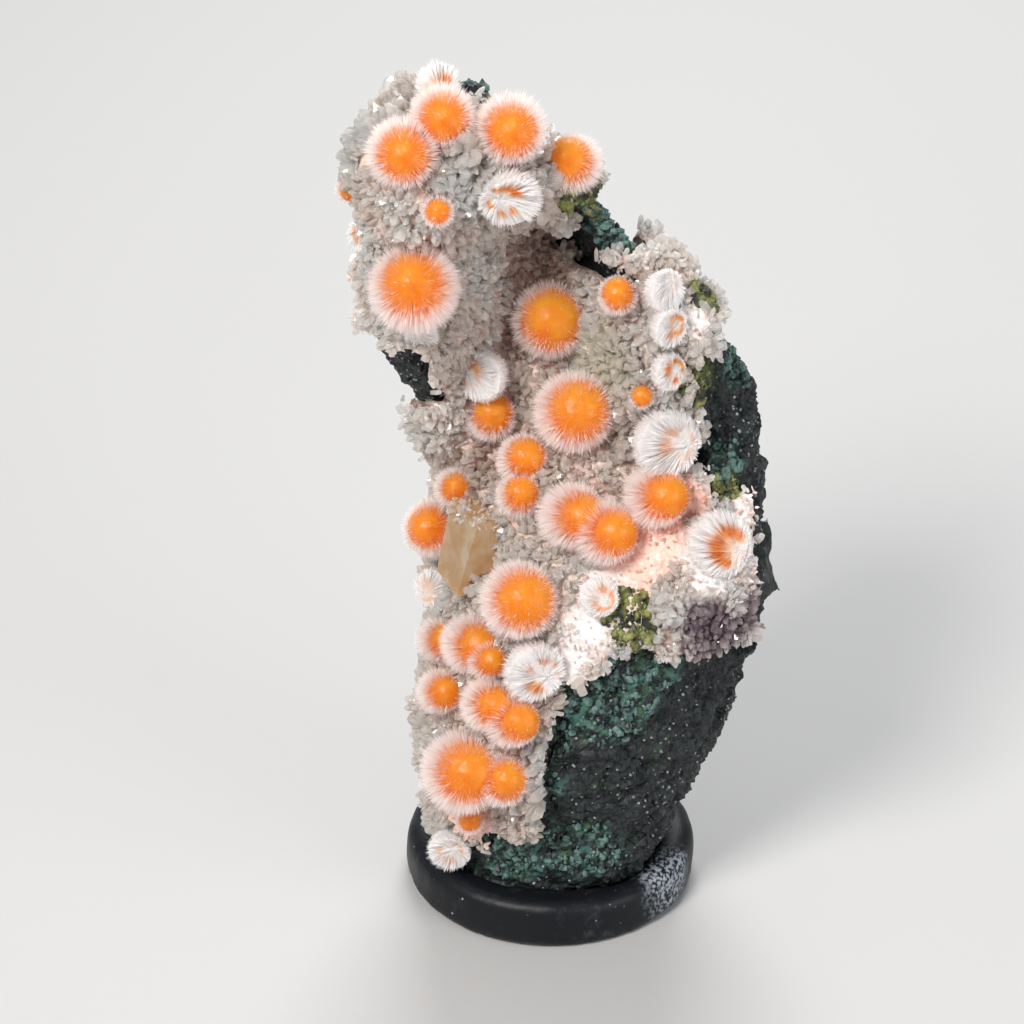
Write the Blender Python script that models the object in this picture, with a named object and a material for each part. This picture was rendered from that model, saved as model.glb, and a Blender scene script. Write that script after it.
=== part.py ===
"""A standing mineral specimen: round thomsonite sprays on a druse that lines a hollow in basalt.

Lengths are millimetres until an object is made, and metres in Blender. +Z is up, the crystal
side faces -Y, and the origin is the middle of the putty pad's underside. Crystals are placed
by where they are seen: millimetres right of and above the origin, on the upright sight plane
through it, from an eye in front that looks down at the specimen.
"""

import math
import random
from collections import namedtuple

import bmesh
import bpy
from mathutils import Vector, noise
from mathutils.bvhtree import BVHTree

METRES = 0.001

# The sight plane and the eye
SIGHT_TILT = math.radians(30)
EYE_DISTANCE = 450.0
EYE_RIGHT, EYE_UP = -4.75, 44.0
RIGHT = Vector((1, 0, 0))
UP = Vector((0, math.sin(SIGHT_TILT), math.cos(SIGHT_TILT)))
AHEAD = Vector((0, math.cos(SIGHT_TILT), -math.sin(SIGHT_TILT)))
EYE = RIGHT * EYE_RIGHT + UP * EYE_UP - AHEAD * EYE_DISTANCE

# The pad of putty that the rock is pressed into
PAD_RADIUS = 17.8
PAD_HEIGHT = 6.3
PAD_EDGE = 1.6
PAD_SIDES = 32

# The rock: height, then its left, right, front and back there
SECTIONS = (
    (4.8, -12.0, 12.5, -13.0, 11.0),
    (12.0, -12.5, 16.0, -14.5, 13.5),
    (21.0, -12.8, 19.5, -15.5, 15.5),
    (30.0, -12.8, 22.8, -16.5, 17.5),
    (38.0, -12.3, 24.8, -16.5, 18.5),
    (46.0, -11.3, 24.6, -14.0, 19.0),
    (54.0, -10.8, 24.0, -8.0, 18.5),
    (62.0, -14.0, 24.0, -4.5, 18.0),
    (70.0, -20.3, 24.3, -3.5, 17.5),
    (78.0, -20.1, 21.3, -3.5, 16.5),
    (86.0, -19.3, 10.5, -5.0, 15.5),
    (92.0, -20.8, 5.0, -6.0, 14.0),
    (97.0, -20.8, 1.0, -4.5, 11.5),
    (101.0, -17.2, -4.0, -2.0, 8.5),
    (103.0, -13.8, -6.5, 1.0, 6.0),
)
RINGS, RING_POINTS = 28, 32
SQUARENESS = 0.75
TOP_RISE = 0.8

# Lumps and grain of its broken surface: how wide, how high, and where the noise is read
ROUGHNESS = ((9.0, 1.8, (0, 0, 0)), (3.6, 0.9, (7, 3, 1)))

# Bosses and hollows of the crystal side: seen place, half width, half height, depth
RELIEF = {
    "hollow under the head": ((-3.5, 75.5), 9.0, 7.0, 10.5),
    "main hollow": ((-0.5, 65.5), 10.0, 11.0, 10.0),
    "lower valley": ((-7.0, 50.5), 6.0, 10.0, 6.0),
    "calcite pocket": ((-10.0, 38.0), 5.0, 5.0, 5.0),
    "left boss": ((-17.5, 70.5), 6.0, 9.0, -4.0),
    "head boss": ((-12.5, 89.5), 11.0, 9.0, -4.0),
    "foot boss": ((-10.0, 15.5), 8.0, 8.0, -1.5),
    "shoulder": ((21.0, 37.0), 7.0, 6.0, -4.0),
    "right rim": ((17.0, 66.0), 4.0, 9.0, -3.5),
}

# Planes that the basalt broke along: a point on each, and the way it faces
BREAKS = {
    "back": ((0, 16.5, 70), (0.10, 1.0, 0.12)),
    "back left": ((-12, 12, 60), (-0.65, 0.75, 0.1)),
    "back right": ((20, 12, 45), (0.65, 0.75, 0.05)),
    "low back": ((0, 13.5, 15), (0.1, 0.9, -0.45)),
    "low front right": ((15, -12.5, 25), (0.5, -0.85, -0.1)),
    "right side": ((25.5, 0, 60), (0.95, -0.25, 0.1)),
    "head right": ((0.8, 5, 92.4), (0.72, 0.3, 0.62)),
}

# Gas bubbles that the broken basalt shows: a point on the surface, and the bubble's radius
BUBBLES = (
    ((21, -9, 31), 1.6),
    ((10, -14, 13), 1.4),
    ((25, 3, 58), 1.7),
    ((24, 4, 71), 1.4),
    ((8, 17, 80), 2.0),
    ((-6, 17, 62), 2.6),
    ((12, 17, 50), 2.2),
    ((20, 12, 33), 2.4),
    ((-11, 10, 84), 1.5),
)

# The druse's edge as seen, clockwise from the top left
DRUSE_EDGE = (
    (-21.0, 98.0), (-17.5, 101.0), (-14.5, 103.0), (-12.5, 97.5), (-9.0, 92.5),
    (-3.0, 89.0), (3.0, 87.5), (5.0, 85.0), (2.0, 83.0), (1.0, 78.0),
    (6.0, 75.0), (12.5, 75.5), (17.5, 75.5), (19.0, 72.0), (18.0, 67.0),
    (18.0, 60.5), (17.5, 55.0), (18.5, 49.0), (22.0, 46.0), (25.0, 41.0),
    (26.0, 35.5), (24.0, 31.0), (20.0, 28.0), (14.0, 26.5), (9.5, 28.0),
    (5.0, 26.0), (1.0, 23.0), (0.0, 18.0), (-0.5, 12.0), (-2.0, 7.5),
    (-4.0, 5.0), (-7.0, 4.0), (-10.0, 3.0), (-10.0, -1.0), (-14.0, -2.5),
    (-18.0, -0.5), (-19.5, 12.0), (-19.5, 42.0), (-17.5, 48.0), (-18.0, 55.5),
    (-15.5, 58.5), (-13.5, 61.0), (-19.0, 66.0), (-23.0, 68.5), (-26.0, 70.5),
    (-29.0, 78.0), (-29.0, 88.0), (-25.0, 94.0),
)
DRUSE_THICKNESS = 2.2
DRUSE_FLOOR = 0.7
DRUSE_TURNS_BACK = -0.25
DRUSE_RAGGEDNESS = 1.6
FRAY_SHIFTS = ((3.1, 0.7, 5.3), (8.2, 4.4, 1.9), (0.6, 9.5, 7.7))
CRYSTAL_SHARE = 0.55
CRYSTAL_HEIGHT = (0.7, 1.9)
CRYSTAL_LEAN = 0.45
SPRAY_MARGIN = 1.2

# Between two pieces that touch, and round the crust, whose sharp corners grow unevenly
GAP = 0.3
DRUSE_GAP = 0.42
MOST_STRETCH = 2.5

# Thomsonite: each spray's round lobes as seen (right, up, radius), and how far their middles
# stand above the druse, in radii. A broken spray also has the way its broken face looks.
SPRAYS = {
    "crown": ([(-14.0, 97.5, 3.2)], -0.1, (0.1, -0.75, 0.65)),
    "crest": ([(-18.5, 89.0, 5.1), (-13.5, 93.5, 4.7), (-5.0, 92.0, 5.1)], 0.2, None),
    "rim_right": ([(3.0, 87.5, 4.2)], 0.0, None),
    "burst": ([(-5.0, 83.0, 4.4)], 0.2, (0.1, -0.9, -0.3)),
    "big_left": ([(-17.0, 72.0, 6.4)], 0.25, None),
    "left_foot": ([(-16.0, 66.0, 2.4)], 0.2, (0.0, -0.7, -0.7)),
    "left_lip": ([(-8.5, 61.0, 3.7)], 0.2, (-0.5, -0.8, 0.2)),
    "deep": ([(0.0, 68.0, 5.4)], 0.1, None),
    "heart": ([(3.0, 56.5, 5.7)], 0.25, None),
    "shade": ([(-7.5, 56.0, 3.7)], 0.1, None),
    "pair": ([(-3.5, 50.5, 3.7), (-4.0, 46.0, 3.3)], 0.15, None),
    "edge": ([(-14.5, 42.0, 4.3)], 0.1, None),
    "edge_fuzz": ([(-12.0, 47.0, 3.0)], 0.1, None),
    "edge_fan": ([(-14.5, 34.5, 2.9)], 0.2, (-0.4, -0.8, 0.3)),
    "trio": ([(2.5, 43.5, 4.8), (6.5, 41.5, 4.7), (13.0, 46.0, 4.6)], 0.2, None),
    "white_fan": ([(14.5, 52.5, 4.8)], 0.3, (0.3, -0.9, 0.1)),
    "shoulder": ([(21.0, 40.0, 4.6)], 0.1, (0.2, -0.8, 0.5)),
    "front": ([(-4.0, 33.0, 5.5)], 0.2, None),
    "ring": ([(-2.0, 24.0, 4.3)], 0.2, (0.3, -0.9, 0.1)),
    "column": ([(-10.0, 27.5, 4.3), (-8.0, 25.5, 2.9)], 0.1, None),
    "column_side": ([(-14.0, 28.0, 3.3)], 0.1, None),
    "column_foot": ([(-14.0, 21.5, 3.3)], 0.1, None),
    "pile": ([(-8.0, 20.0, 3.9), (-5.0, 18.0, 4.0)], 0.2, None),
    "low": ([(-11.0, 11.5, 5.9), (-6.0, 10.5, 3.9)], 0.1, None),
    "low_edge": ([(-10.0, 5.5, 2.2)], 0.1, None),
    "foot_fan": ([(-12.5, 1.5, 3.2)], 0.1, (-0.1, -0.9, -0.2)),
    "rim_fan": ([(14.5, 71.5, 3.1)], 0.2, (0.6, -0.7, 0.3)),
    "rim_top": ([(15.0, 67.0, 2.9)], 0.2, (0.6, -0.8, 0.1)),
    "rim_mid": ([(15.0, 61.5, 2.8)], 0.2, (0.6, -0.8, 0.1)),
    "far": ([(8.5, 71.0, 2.9)], 0.38, None),
    "bud": ([(11.5, 58.5, 2.0)], 0.2, None),
    "left_tip": ([(-25.0, 84.5, 2.2)], 0.1, None),
    "left_chip": ([(-23.5, 78.5, 2.4)], 0.1, (-0.6, -0.7, 0.2)),
    "head_bud": ([(-14.0, 81.5, 2.4)], 0.2, None),
    "ledge_fan": ([(6.0, 33.5, 2.9)], 0.3, (0.2, -0.7, 0.6)),
}
BROKEN_AT = 0.25
POINTED_FROM = 5.0
PLAIN_UP_TO = 2.3
NEEDLE_DIP = 0.14

# The calcite: where its front edge is seen, how high that stands over the rock, and its corners
# (right, ahead, up) from there
CALCITE_PLACE = (-10.4, 37.6)
CALCITE_HEIGHT = 4.6
CALCITE_CORNERS = (
    (-1.2, 0.0, -4.6), (5.0, 1.8, -4.2), (4.5, 8.0, -2.5), (-3.6, 5.5, -4.2),
    (1.3, 0.2, 5.0), (5.6, 2.0, 3.2), (5.5, 8.0, 4.5), (-1.8, 5.5, 5.6),
)
CALCITE_FACES = (
    (0, 3, 2, 1), (4, 5, 6, 7), (0, 1, 5, 4), (1, 2, 6, 5), (2, 3, 7, 6), (3, 0, 4, 7),
)
# The round room that the druse leaves for it: its middle from the front edge, and its radius
CALCITE_ROOM = ((1.5, 3.0, 0.0), 4.5)

# How much larger a socket is than the burr it makes room for, because its flat faces cut corners,
# and how near to the calcite's corners a spray has to be for one
SOCKET_SCALE = 1.06
CALCITE_NEAR = 4.0

# The search along a line of sight: how far before the sight plane it starts, its most steps, its
# shortest and longest step, and how near counts as found
SEARCH_START = 90.0
SEARCH_STEPS = 400
SHORTEST_STEP, LONGEST_STEP = 0.02, 1.0
NEAR_ENOUGH = 0.01

Lobe = namedtuple("Lobe", "middle radius facing")


def section_at(height):
    """The rock's (left, right, front, back) at a height, between the listed sections."""
    for (low, *start), (high, *end) in zip(SECTIONS, SECTIONS[1:]):
        if height <= high:
            share = max(0.0, (height - low) / (high - low))
            return [a + (b - a) * share for a, b in zip(start, end)]
    return list(SECTIONS[-1][1:])


def seen(point):
    """Where a point is seen: (right, up) on the sight plane."""
    from_eye = point - EYE
    enlarged = EYE_DISTANCE / from_eye.dot(AHEAD)
    return EYE_RIGHT + from_eye.dot(RIGHT) * enlarged, EYE_UP + from_eye.dot(UP) * enlarged


def sight_line(right, up):
    """The direction in which a seen place lies from the eye."""
    return (RIGHT * right + UP * up - EYE).normalized()


def signed_power(value, power):
    return math.copysign(abs(value) ** power, value)


def relief_at(point):
    """How far the crystal side is pushed back, or forward where negative, at a point."""
    right, up = seen(point)
    total = 0.0
    for (place, half_width, half_height, depth) in RELIEF.values():
        across = (right - place[0]) / half_width
        along = (up - place[1]) / half_height
        total += depth * math.exp(-across * across - along * along)
    return total


def roughness_at(point):
    """How far the broken surface stands out of its smooth form."""
    return sum(noise.noise(point / wide + Vector(shift)) * high for wide, high, shift in ROUGHNESS)


def rock_points():
    """The rock's surface points, ring by ring from the bottom, then its lowest and highest middle."""
    points = []
    bottom, top = SECTIONS[0][0], SECTIONS[-1][0]
    for ring in range(RINGS):
        height = bottom + (top - bottom) * ring / (RINGS - 1)
        left, right, front, back = section_at(height)
        middle = Vector(((left + right) / 2, (front + back) / 2, height))
        half_width, half_depth = (right - left) / 2, (back - front) / 2
        for step in range(RING_POINTS):
            turn = 2 * math.pi * step / RING_POINTS
            across = signed_power(math.cos(turn), SQUARENESS)
            out = Vector((across, signed_power(math.sin(turn), SQUARENESS), 0))
            point = middle + Vector((out.x * half_width, out.y * half_depth, 0))
            if out.y < 0:
                point.y += relief_at(point) * min(1.0, -out.y * 1.6)
            if 0 < ring:
                point += out.normalized() * roughness_at(point)
            points.append(broken_back(point))
    low_middle = sum((points[i] for i in range(RING_POINTS)), Vector()) / RING_POINTS
    high_middle = sum((points[-1 - i] for i in range(RING_POINTS)), Vector()) / RING_POINTS
    return points + [low_middle, high_middle + Vector((0, 0, TOP_RISE))]


def broken_back(point):
    """The point, moved onto any plane that the basalt broke along and that it lies beyond."""
    for place, facing in BREAKS.values():
        normal = Vector(facing).normalized()
        beyond = (point - Vector(place)).dot(normal)
        if beyond > 0:
            point = point - normal * beyond
    return point


def rock_faces():
    """Four-cornered faces between the rings, and triangles that close both ends."""
    faces = []
    for ring in range(RINGS - 1):
        for step in range(RING_POINTS):
            here, beside = ring * RING_POINTS + step, ring * RING_POINTS + (step + 1) % RING_POINTS
            faces.append((here, beside, beside + RING_POINTS, here + RING_POINTS))
    low, high = RINGS * RING_POINTS, RINGS * RING_POINTS + 1
    last = (RINGS - 1) * RING_POINTS
    for step in range(RING_POINTS):
        after = (step + 1) % RING_POINTS
        faces.append((low, after, step))
        faces.append((high, last + step, last + after))
    return faces


def normals_of(points, faces):
    """The outward direction of the surface at each point."""
    normals = [Vector() for _ in points]
    for face in faces:
        corners = [points[i] for i in face]
        across = (corners[2] - corners[0]).cross(corners[-1] - corners[1])
        for i in face:
            normals[i] += across
    return [normal.normalized() for normal in normals]


def finish(name, colour, roughness, transmission=0.0):
    """A material: colour, roughness and how clear it is."""
    material = bpy.data.materials.new(name)
    material.use_nodes = True
    shader = material.node_tree.nodes["Principled BSDF"]
    shader.inputs["Base Color"].default_value = (*colour, 1.0)
    shader.inputs["Roughness"].default_value = roughness
    shader.inputs["Metallic"].default_value = 0.0
    shader.inputs["Transmission Weight"].default_value = transmission
    return material


def split(faces):
    """The faces as triangles, each four-cornered one split from its first corner to its third."""
    triangles = []
    for face in faces:
        triangles += [(face[0], face[i], face[i + 1]) for i in range(1, len(face) - 1)]
    return triangles


def add_solid(name, points, faces, material):
    """A solid object from points in millimetres."""
    mesh = bpy.data.meshes.new(name)
    mesh.from_pydata([point * METRES for point in points], [], split(faces))
    mesh.validate()
    mesh.materials.append(material)
    solid = bpy.data.objects.new(name, mesh)
    bpy.context.scene.collection.objects.link(solid)
    return solid


def as_cutter(solid):
    """Keeps a solid out of the finished part: it only shapes others."""
    solid.hide_render = True
    solid.display_type = "WIRE"
    return solid


def shape_with(solid, other, operation):
    """Cuts a solid with another, or joins the other to it."""
    boolean = solid.modifiers.new(f"{operation.lower()} {other.name}", "BOOLEAN")
    boolean.operation = operation
    boolean.solver = "EXACT"
    boolean.object = other


def cut_all(solid, name, cutters):
    """Cuts a solid with every cutter of a group."""
    group = bpy.data.collections.new(name)
    bpy.context.scene.collection.children.link(group)
    for cutter in cutters:
        group.objects.link(cutter)
        bpy.context.scene.collection.objects.unlink(cutter)
    boolean = solid.modifiers.new(name, "BOOLEAN")
    boolean.operation = "DIFFERENCE"
    boolean.solver = "EXACT"
    boolean.operand_type = "COLLECTION"
    boolean.collection = group


def settle(solid):
    """Makes a solid's cuts and joins final, and leaves out crumbs that a cut left beside it."""
    bpy.context.view_layer.update()
    shaped = bmesh.new()
    shaped.from_object(solid, bpy.context.evaluated_depsgraph_get())
    bmesh.ops.remove_doubles(shaped, verts=shaped.verts[:], dist=2e-6)
    parts, left = [], set(shaped.verts)
    while left:
        part, waiting = set(), [left.pop()]
        while waiting:
            vertex = waiting.pop()
            part.add(vertex)
            beside = {edge.other_vert(vertex) for edge in vertex.link_edges} & left
            left -= beside
            waiting += beside
        parts.append(part)
    largest = max(parts, key=len)
    crumbs = [vertex for vertex in shaped.verts if vertex not in largest]
    bmesh.ops.delete(shaped, geom=crumbs, context="VERTS")
    bmesh.ops.dissolve_limit(
        shaped, angle_limit=math.radians(1), verts=shaped.verts[:], edges=shaped.edges[:]
    )
    bmesh.ops.triangulate(shaped, faces=shaped.faces[:])
    solid.modifiers.clear()
    shaped.to_mesh(solid.data)
    shaped.free()
    return solid


def grown_copy(solid, name, distance):
    """A copy of a settled solid whose faces all lie a distance further out, to cut others with."""
    shaped = bmesh.new()
    shaped.from_mesh(solid.data)
    shaped.normal_update()
    moves = [vertex.normal * min(vertex.calc_shell_factor(), MOST_STRETCH) for vertex in shaped.verts]
    for vertex, move in zip(shaped.verts, moves):
        vertex.co += move * distance * METRES
    mesh = bpy.data.meshes.new(name)
    shaped.to_mesh(mesh)
    shaped.free()
    mesh.materials.append(solid.data.materials[0])
    copy = bpy.data.objects.new(name, mesh)
    bpy.context.scene.collection.objects.link(copy)
    return as_cutter(copy)


def make_rock(points, faces, material):
    """The basalt, with open gas bubbles on its broken faces."""
    rock = add_solid("basalt_matrix", points, faces, material)
    tree = BVHTree.FromPolygons(points, faces)
    cutters = []
    for number, (place, radius) in enumerate(BUBBLES):
        surface = tree.find_nearest(Vector(place))[0]
        bubble = burr_at(f"bubble_{number}", Lobe(surface, radius, None), 0.0, number, 1, material)
        cutters.append(as_cutter(bubble))
    cut_all(rock, "bubbles", cutters)
    return rock


def inside(place, outline):
    """Whether a seen place lies inside an outline."""
    crossed = False
    for (x0, y0), (x1, y1) in zip(outline, outline[1:] + outline[:1]):
        if (y0 > place[1]) != (y1 > place[1]) and place[0] < x0 + (x1 - x0) * (place[1] - y0) / (y1 - y0):
            crossed = not crossed
    return crossed


def frayed(place):
    """An uneven shift of up to about one each way, the same at a place in every run."""
    return Vector([noise.noise(place + Vector(shift)) for shift in FRAY_SHIFTS])


def druse_cells(points, faces, normals):
    """The rock's four-cornered faces that the druse covers, as a patch in one piece."""
    chosen = set()
    for number, face in enumerate(faces):
        middle = sum((points[i] for i in face), Vector()) / len(face)
        facing = sum((normals[i] for i in face), Vector()).normalized()
        towards_eye = facing.dot((EYE - middle).normalized())
        above_pad = min(points[i].z for i in face) > PAD_HEIGHT + GAP
        ragged = frayed(middle / 4.0) * DRUSE_RAGGEDNESS
        covers = towards_eye > DRUSE_TURNS_BACK and inside(seen(middle + ragged), DRUSE_EDGE)
        if len(face) == 4 and above_pad and covers:
            chosen.add(number)
    around = {}
    for number, face in enumerate(faces):
        if len(face) == 4:
            for i in face:
                around.setdefault(i, []).append(number)
    changed = True
    while changed:
        changed = False
        for cells in around.values():
            held = [cell for cell in cells if cell in chosen]
            if len(held) == 2 and len(set(faces[held[0]]) & set(faces[held[1]])) == 1:
                chosen |= set(cells)
                changed = True
    return largest_patch(chosen, faces)


def largest_patch(chosen, faces):
    """The largest group of cells that join along edges."""
    by_edge = {}
    for cell in chosen:
        face = faces[cell]
        for edge in zip(face, face[1:] + face[:1]):
            by_edge.setdefault(frozenset(edge), []).append(cell)
    best, left = set(), set(chosen)
    while left:
        patch, waiting = set(), [min(left)]
        while waiting:
            cell = waiting.pop()
            if cell in patch:
                continue
            patch.add(cell)
            face = faces[cell]
            for edge in zip(face, face[1:] + face[:1]):
                waiting += [other for other in by_edge[frozenset(edge)] if other not in patch]
        left -= patch
        best = max(best, patch, key=len)
    return sorted(best)


def make_druse(points, faces, normals, crystals, pad_room, material):
    """The crust: thin under the large crystals, and elsewhere with a small crystal on most cells."""
    cells = druse_cells(points, faces, normals)
    used = sorted({i for cell in cells for i in faces[cell]})
    low = {i: order for order, i in enumerate(used)}
    high = {i: order + len(used) for order, i in enumerate(used)}
    draw = random.Random(4)
    made = [points[i] + normals[i] * GAP for i in used]
    for i in used:
        full = points[i] + normals[i] * (GAP + DRUSE_THICKNESS * draw.uniform(0.85, 1.15))
        covered = any((full - lobe.middle).length < lobe.radius for lobe in crystals)
        made.append(points[i] + normals[i] * (GAP + DRUSE_FLOOR) if covered else full)
    solid_faces = []
    edges = set()
    for cell in cells:
        face = faces[cell]
        a, b, c, d = (low[i] for i in face)
        solid_faces.append((a, d, c, b))
        edges |= set(zip(face, face[1:] + face[:1]))
    for start, end in sorted(edges):
        if (end, start) not in edges:
            solid_faces.append((low[start], low[end], high[end], high[start]))
    for cell in cells:
        corners = [high[i] for i in faces[cell]]
        if draw.random() < 0.5:
            corners = corners[1:] + corners[:1]
        a, b, c, d = corners
        ridge = crystal_ridge([made[i] for i in corners], draw)
        free = all(
            (end - lobe.middle).length > lobe.radius + SPRAY_MARGIN for lobe in crystals for end in ridge
        )
        if draw.random() < CRYSTAL_SHARE and free:
            first, second = len(made), len(made) + 1
            made += ridge
            solid_faces += [(a, b, first), (b, c, second, first), (c, d, second), (d, a, first, second)]
        else:
            solid_faces.append((a, b, c, d))
    crust = add_solid("druse_crust", made, solid_faces, material)
    shape_with(crust, pad_room, "DIFFERENCE")
    return settle(crust)


def crystal_ridge(corners, draw):
    """The two ends of the ridge on a roof-shaped crystal over four corners."""
    a, b, c, d = corners
    middle = (a + b + c + d) / 4
    normal = (c - a).cross(d - b).normalized()
    along = ((c + d) - (a + b)) / 4
    lean = Vector([draw.uniform(-CRYSTAL_LEAN, CRYSTAL_LEAN) for _ in range(3)])
    peak = middle + normal * draw.uniform(*CRYSTAL_HEIGHT) + lean
    share = draw.uniform(0.25, 0.6)
    return [peak - along * share, peak + along * share]


def stands_at(tree, right, up, height):
    """The point seen at (right, up) that stands this high over the rock, nearest the eye."""
    towards = sight_line(right, up)
    nearest, closest = None, math.inf
    point = EYE + towards * (EYE_DISTANCE - SEARCH_START)
    for _ in range(SEARCH_STEPS):
        distance = tree.find_nearest(point)[3] - height
        if distance < closest:
            nearest, closest = point.copy(), distance
        if distance < NEAR_ENOUGH:
            break
        point += towards * max(SHORTEST_STEP, min(distance, LONGEST_STEP))
    return nearest


def lobes_of(tree, places, lift, facing):
    """A spray's lobes, at their places and real sizes."""
    lobes = []
    for right, up, seen_radius in places:
        middle = stands_at(tree, right, up, GAP + DRUSE_THICKNESS + lift * seen_radius)
        radius = seen_radius * (middle - EYE).dot(AHEAD) / EYE_DISTANCE
        lobes.append(Lobe(middle, radius, facing))
    return lobes


def burr_at(name, lobe, grow, seed, detail, material):
    """A round burr of crystals, cut flat across the way it is broken, and grown by a distance.

    Detail 1 has 20 faces, 2 has 80, and 3 has a point on each of those 80.
    """
    burr = bmesh.new()
    bmesh.ops.create_icosphere(burr, subdivisions=min(detail, 2), radius=1.0)
    corners = len(burr.verts)
    if detail == 3:
        bmesh.ops.poke(burr, faces=burr.faces[:])
    draw = random.Random(seed)
    radius = lobe.radius + grow
    for order, vertex in enumerate(burr.verts):
        sunk = NEEDLE_DIP if detail == 3 and order < corners else 0.0
        vertex.co = vertex.co.normalized() * radius * (1.0 - sunk - draw.uniform(0.0, 0.05))
    if lobe.facing:
        normal = Vector(lobe.facing).normalized()
        ring = bmesh.ops.bisect_plane(
            burr,
            geom=burr.verts[:] + burr.edges[:] + burr.faces[:],
            plane_co=normal * (lobe.radius * BROKEN_AT + grow),
            plane_no=normal,
            clear_outer=True,
        )["geom_cut"]
        bmesh.ops.holes_fill(burr, edges=[part for part in ring if isinstance(part, bmesh.types.BMEdge)])
    bmesh.ops.triangulate(burr, faces=burr.faces[:])
    bmesh.ops.recalc_face_normals(burr, faces=burr.faces[:])
    bmesh.ops.scale(burr, vec=(METRES,) * 3, verts=burr.verts[:])
    mesh = bpy.data.meshes.new(name)
    burr.to_mesh(mesh)
    burr.free()
    mesh.materials.append(material)
    made = bpy.data.objects.new(name, mesh)
    made.location = lobe.middle * METRES
    bpy.context.scene.collection.objects.link(made)
    return made


def make_spray(name, lobes, floors, neighbours, material):
    """One spray: its lobes in a single solid, cut where it meets the floors and its neighbours."""
    burrs = []
    for number, lobe in enumerate(lobes):
        label = f"thomsonite_{name}" if number == 0 else f"{name}_lobe_{number}"
        detail = 1 if lobe.radius < PLAIN_UP_TO else 2 if lobe.radius < POINTED_FROM else 3
        burrs.append(burr_at(label, lobe, 0.0, number + len(name), detail, material))
    for other in burrs[1:]:
        shape_with(burrs[0], as_cutter(other), "UNION")
    for floor in floors:
        shape_with(burrs[0], floor, "DIFFERENCE")
    for number, neighbour in enumerate(neighbours):
        reach = neighbour.radius + GAP
        if any((neighbour.middle - lobe.middle).length < reach + lobe.radius for lobe in lobes):
            socket = burr_at(f"{name}_socket_{number}", neighbour, GAP, 1, 2, material)
            socket.scale = (SOCKET_SCALE,) * 3
            shape_with(burrs[0], as_cutter(socket), "DIFFERENCE")
    return settle(burrs[0])


def make_calcite(tree, floors, neighbours, material):
    """The blocky calcite crystal that looks out between the sprays."""
    place = stands_at(tree, *CALCITE_PLACE, CALCITE_HEIGHT)
    corners = [place + Vector(corner) for corner in CALCITE_CORNERS]
    calcite = add_solid("calcite_crystal", corners, CALCITE_FACES, material)
    for floor in floors:
        shape_with(calcite, floor, "DIFFERENCE")
    for number, neighbour in enumerate(neighbours):
        if min((neighbour.middle - corner).length for corner in corners) < neighbour.radius + CALCITE_NEAR:
            socket = burr_at(f"calcite_socket_{number}", neighbour, GAP, 1, 2, material)
            socket.scale = (SOCKET_SCALE,) * 3
            shape_with(calcite, as_cutter(socket), "DIFFERENCE")
    return settle(calcite)


def turned_pad(name, grow, material):
    """The round putty pad with soft edges, grown by a distance."""
    profile = bmesh.new()
    edge = PAD_EDGE + grow
    path = [(0, 0), (PAD_RADIUS - 0.5 + grow, 0), (PAD_RADIUS + grow, 0.6)]
    for step in range(4):
        turn = math.pi / 2 * step / 3
        out, up = edge * math.cos(turn), edge * math.sin(turn)
        path.append((PAD_RADIUS - PAD_EDGE + out, PAD_HEIGHT - PAD_EDGE + up))
    path.append((0, PAD_HEIGHT + grow))
    made = [profile.verts.new((r * METRES, 0, z * METRES)) for r, z in path]
    edges = [profile.edges.new(pair) for pair in zip(made, made[1:])]
    bmesh.ops.spin(
        profile, geom=made + edges, angle=2 * math.pi, steps=PAD_SIDES, axis=(0, 0, 1), cent=(0, 0, 0)
    )
    bmesh.ops.remove_doubles(profile, verts=profile.verts[:], dist=1e-6)
    bmesh.ops.recalc_face_normals(profile, faces=profile.faces[:])
    mesh = bpy.data.meshes.new(name)
    profile.to_mesh(mesh)
    profile.free()
    mesh.materials.append(material)
    pad = bpy.data.objects.new(name, mesh)
    bpy.context.scene.collection.objects.link(pad)
    return pad


def main():
    for leftover in list(bpy.data.objects):
        bpy.data.objects.remove(leftover)
    basalt = finish("basalt", (0.035, 0.04, 0.04), 0.8)
    druse = finish("druse", (0.72, 0.62, 0.56), 0.3)
    thomsonite = finish("thomsonite", (0.9, 0.32, 0.07), 0.5)
    calcite = finish("calcite", (0.85, 0.68, 0.42), 0.1, transmission=0.6)
    putty = finish("putty", (0.012, 0.013, 0.016), 0.55)

    faces = rock_faces()
    points = rock_points()
    normals = normals_of(points, faces)
    tree = BVHTree.FromPolygons(points, faces)
    make_rock(points, faces, basalt)
    rock_room = as_cutter(
        add_solid("rock_room", [p + n * GAP for p, n in zip(points, normals)], faces, basalt)
    )

    placed = {name: lobes_of(tree, *spray) for name, spray in SPRAYS.items()}
    room, room_radius = CALCITE_ROOM
    block = Lobe(stands_at(tree, *CALCITE_PLACE, CALCITE_HEIGHT) + Vector(room), room_radius, None)
    every_lobe = [lobe for lobes in placed.values() for lobe in lobes]
    pad_room = as_cutter(turned_pad("pad_room", GAP, putty))
    crust = make_druse(points, faces, normals, every_lobe + [block], pad_room, druse)
    floors = [rock_room, grown_copy(crust, "druse_room", DRUSE_GAP), pad_room]
    neighbours = []
    for name, lobes in placed.items():
        make_spray(name, lobes, floors, neighbours, thomsonite)
        neighbours += lobes
    make_calcite(tree, floors, neighbours, calcite)
    pad = turned_pad("putty_pad", 0.0, putty)
    shape_with(pad, rock_room, "DIFFERENCE")
    settle(pad)


if __name__ == "__main__":
    main()
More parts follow.
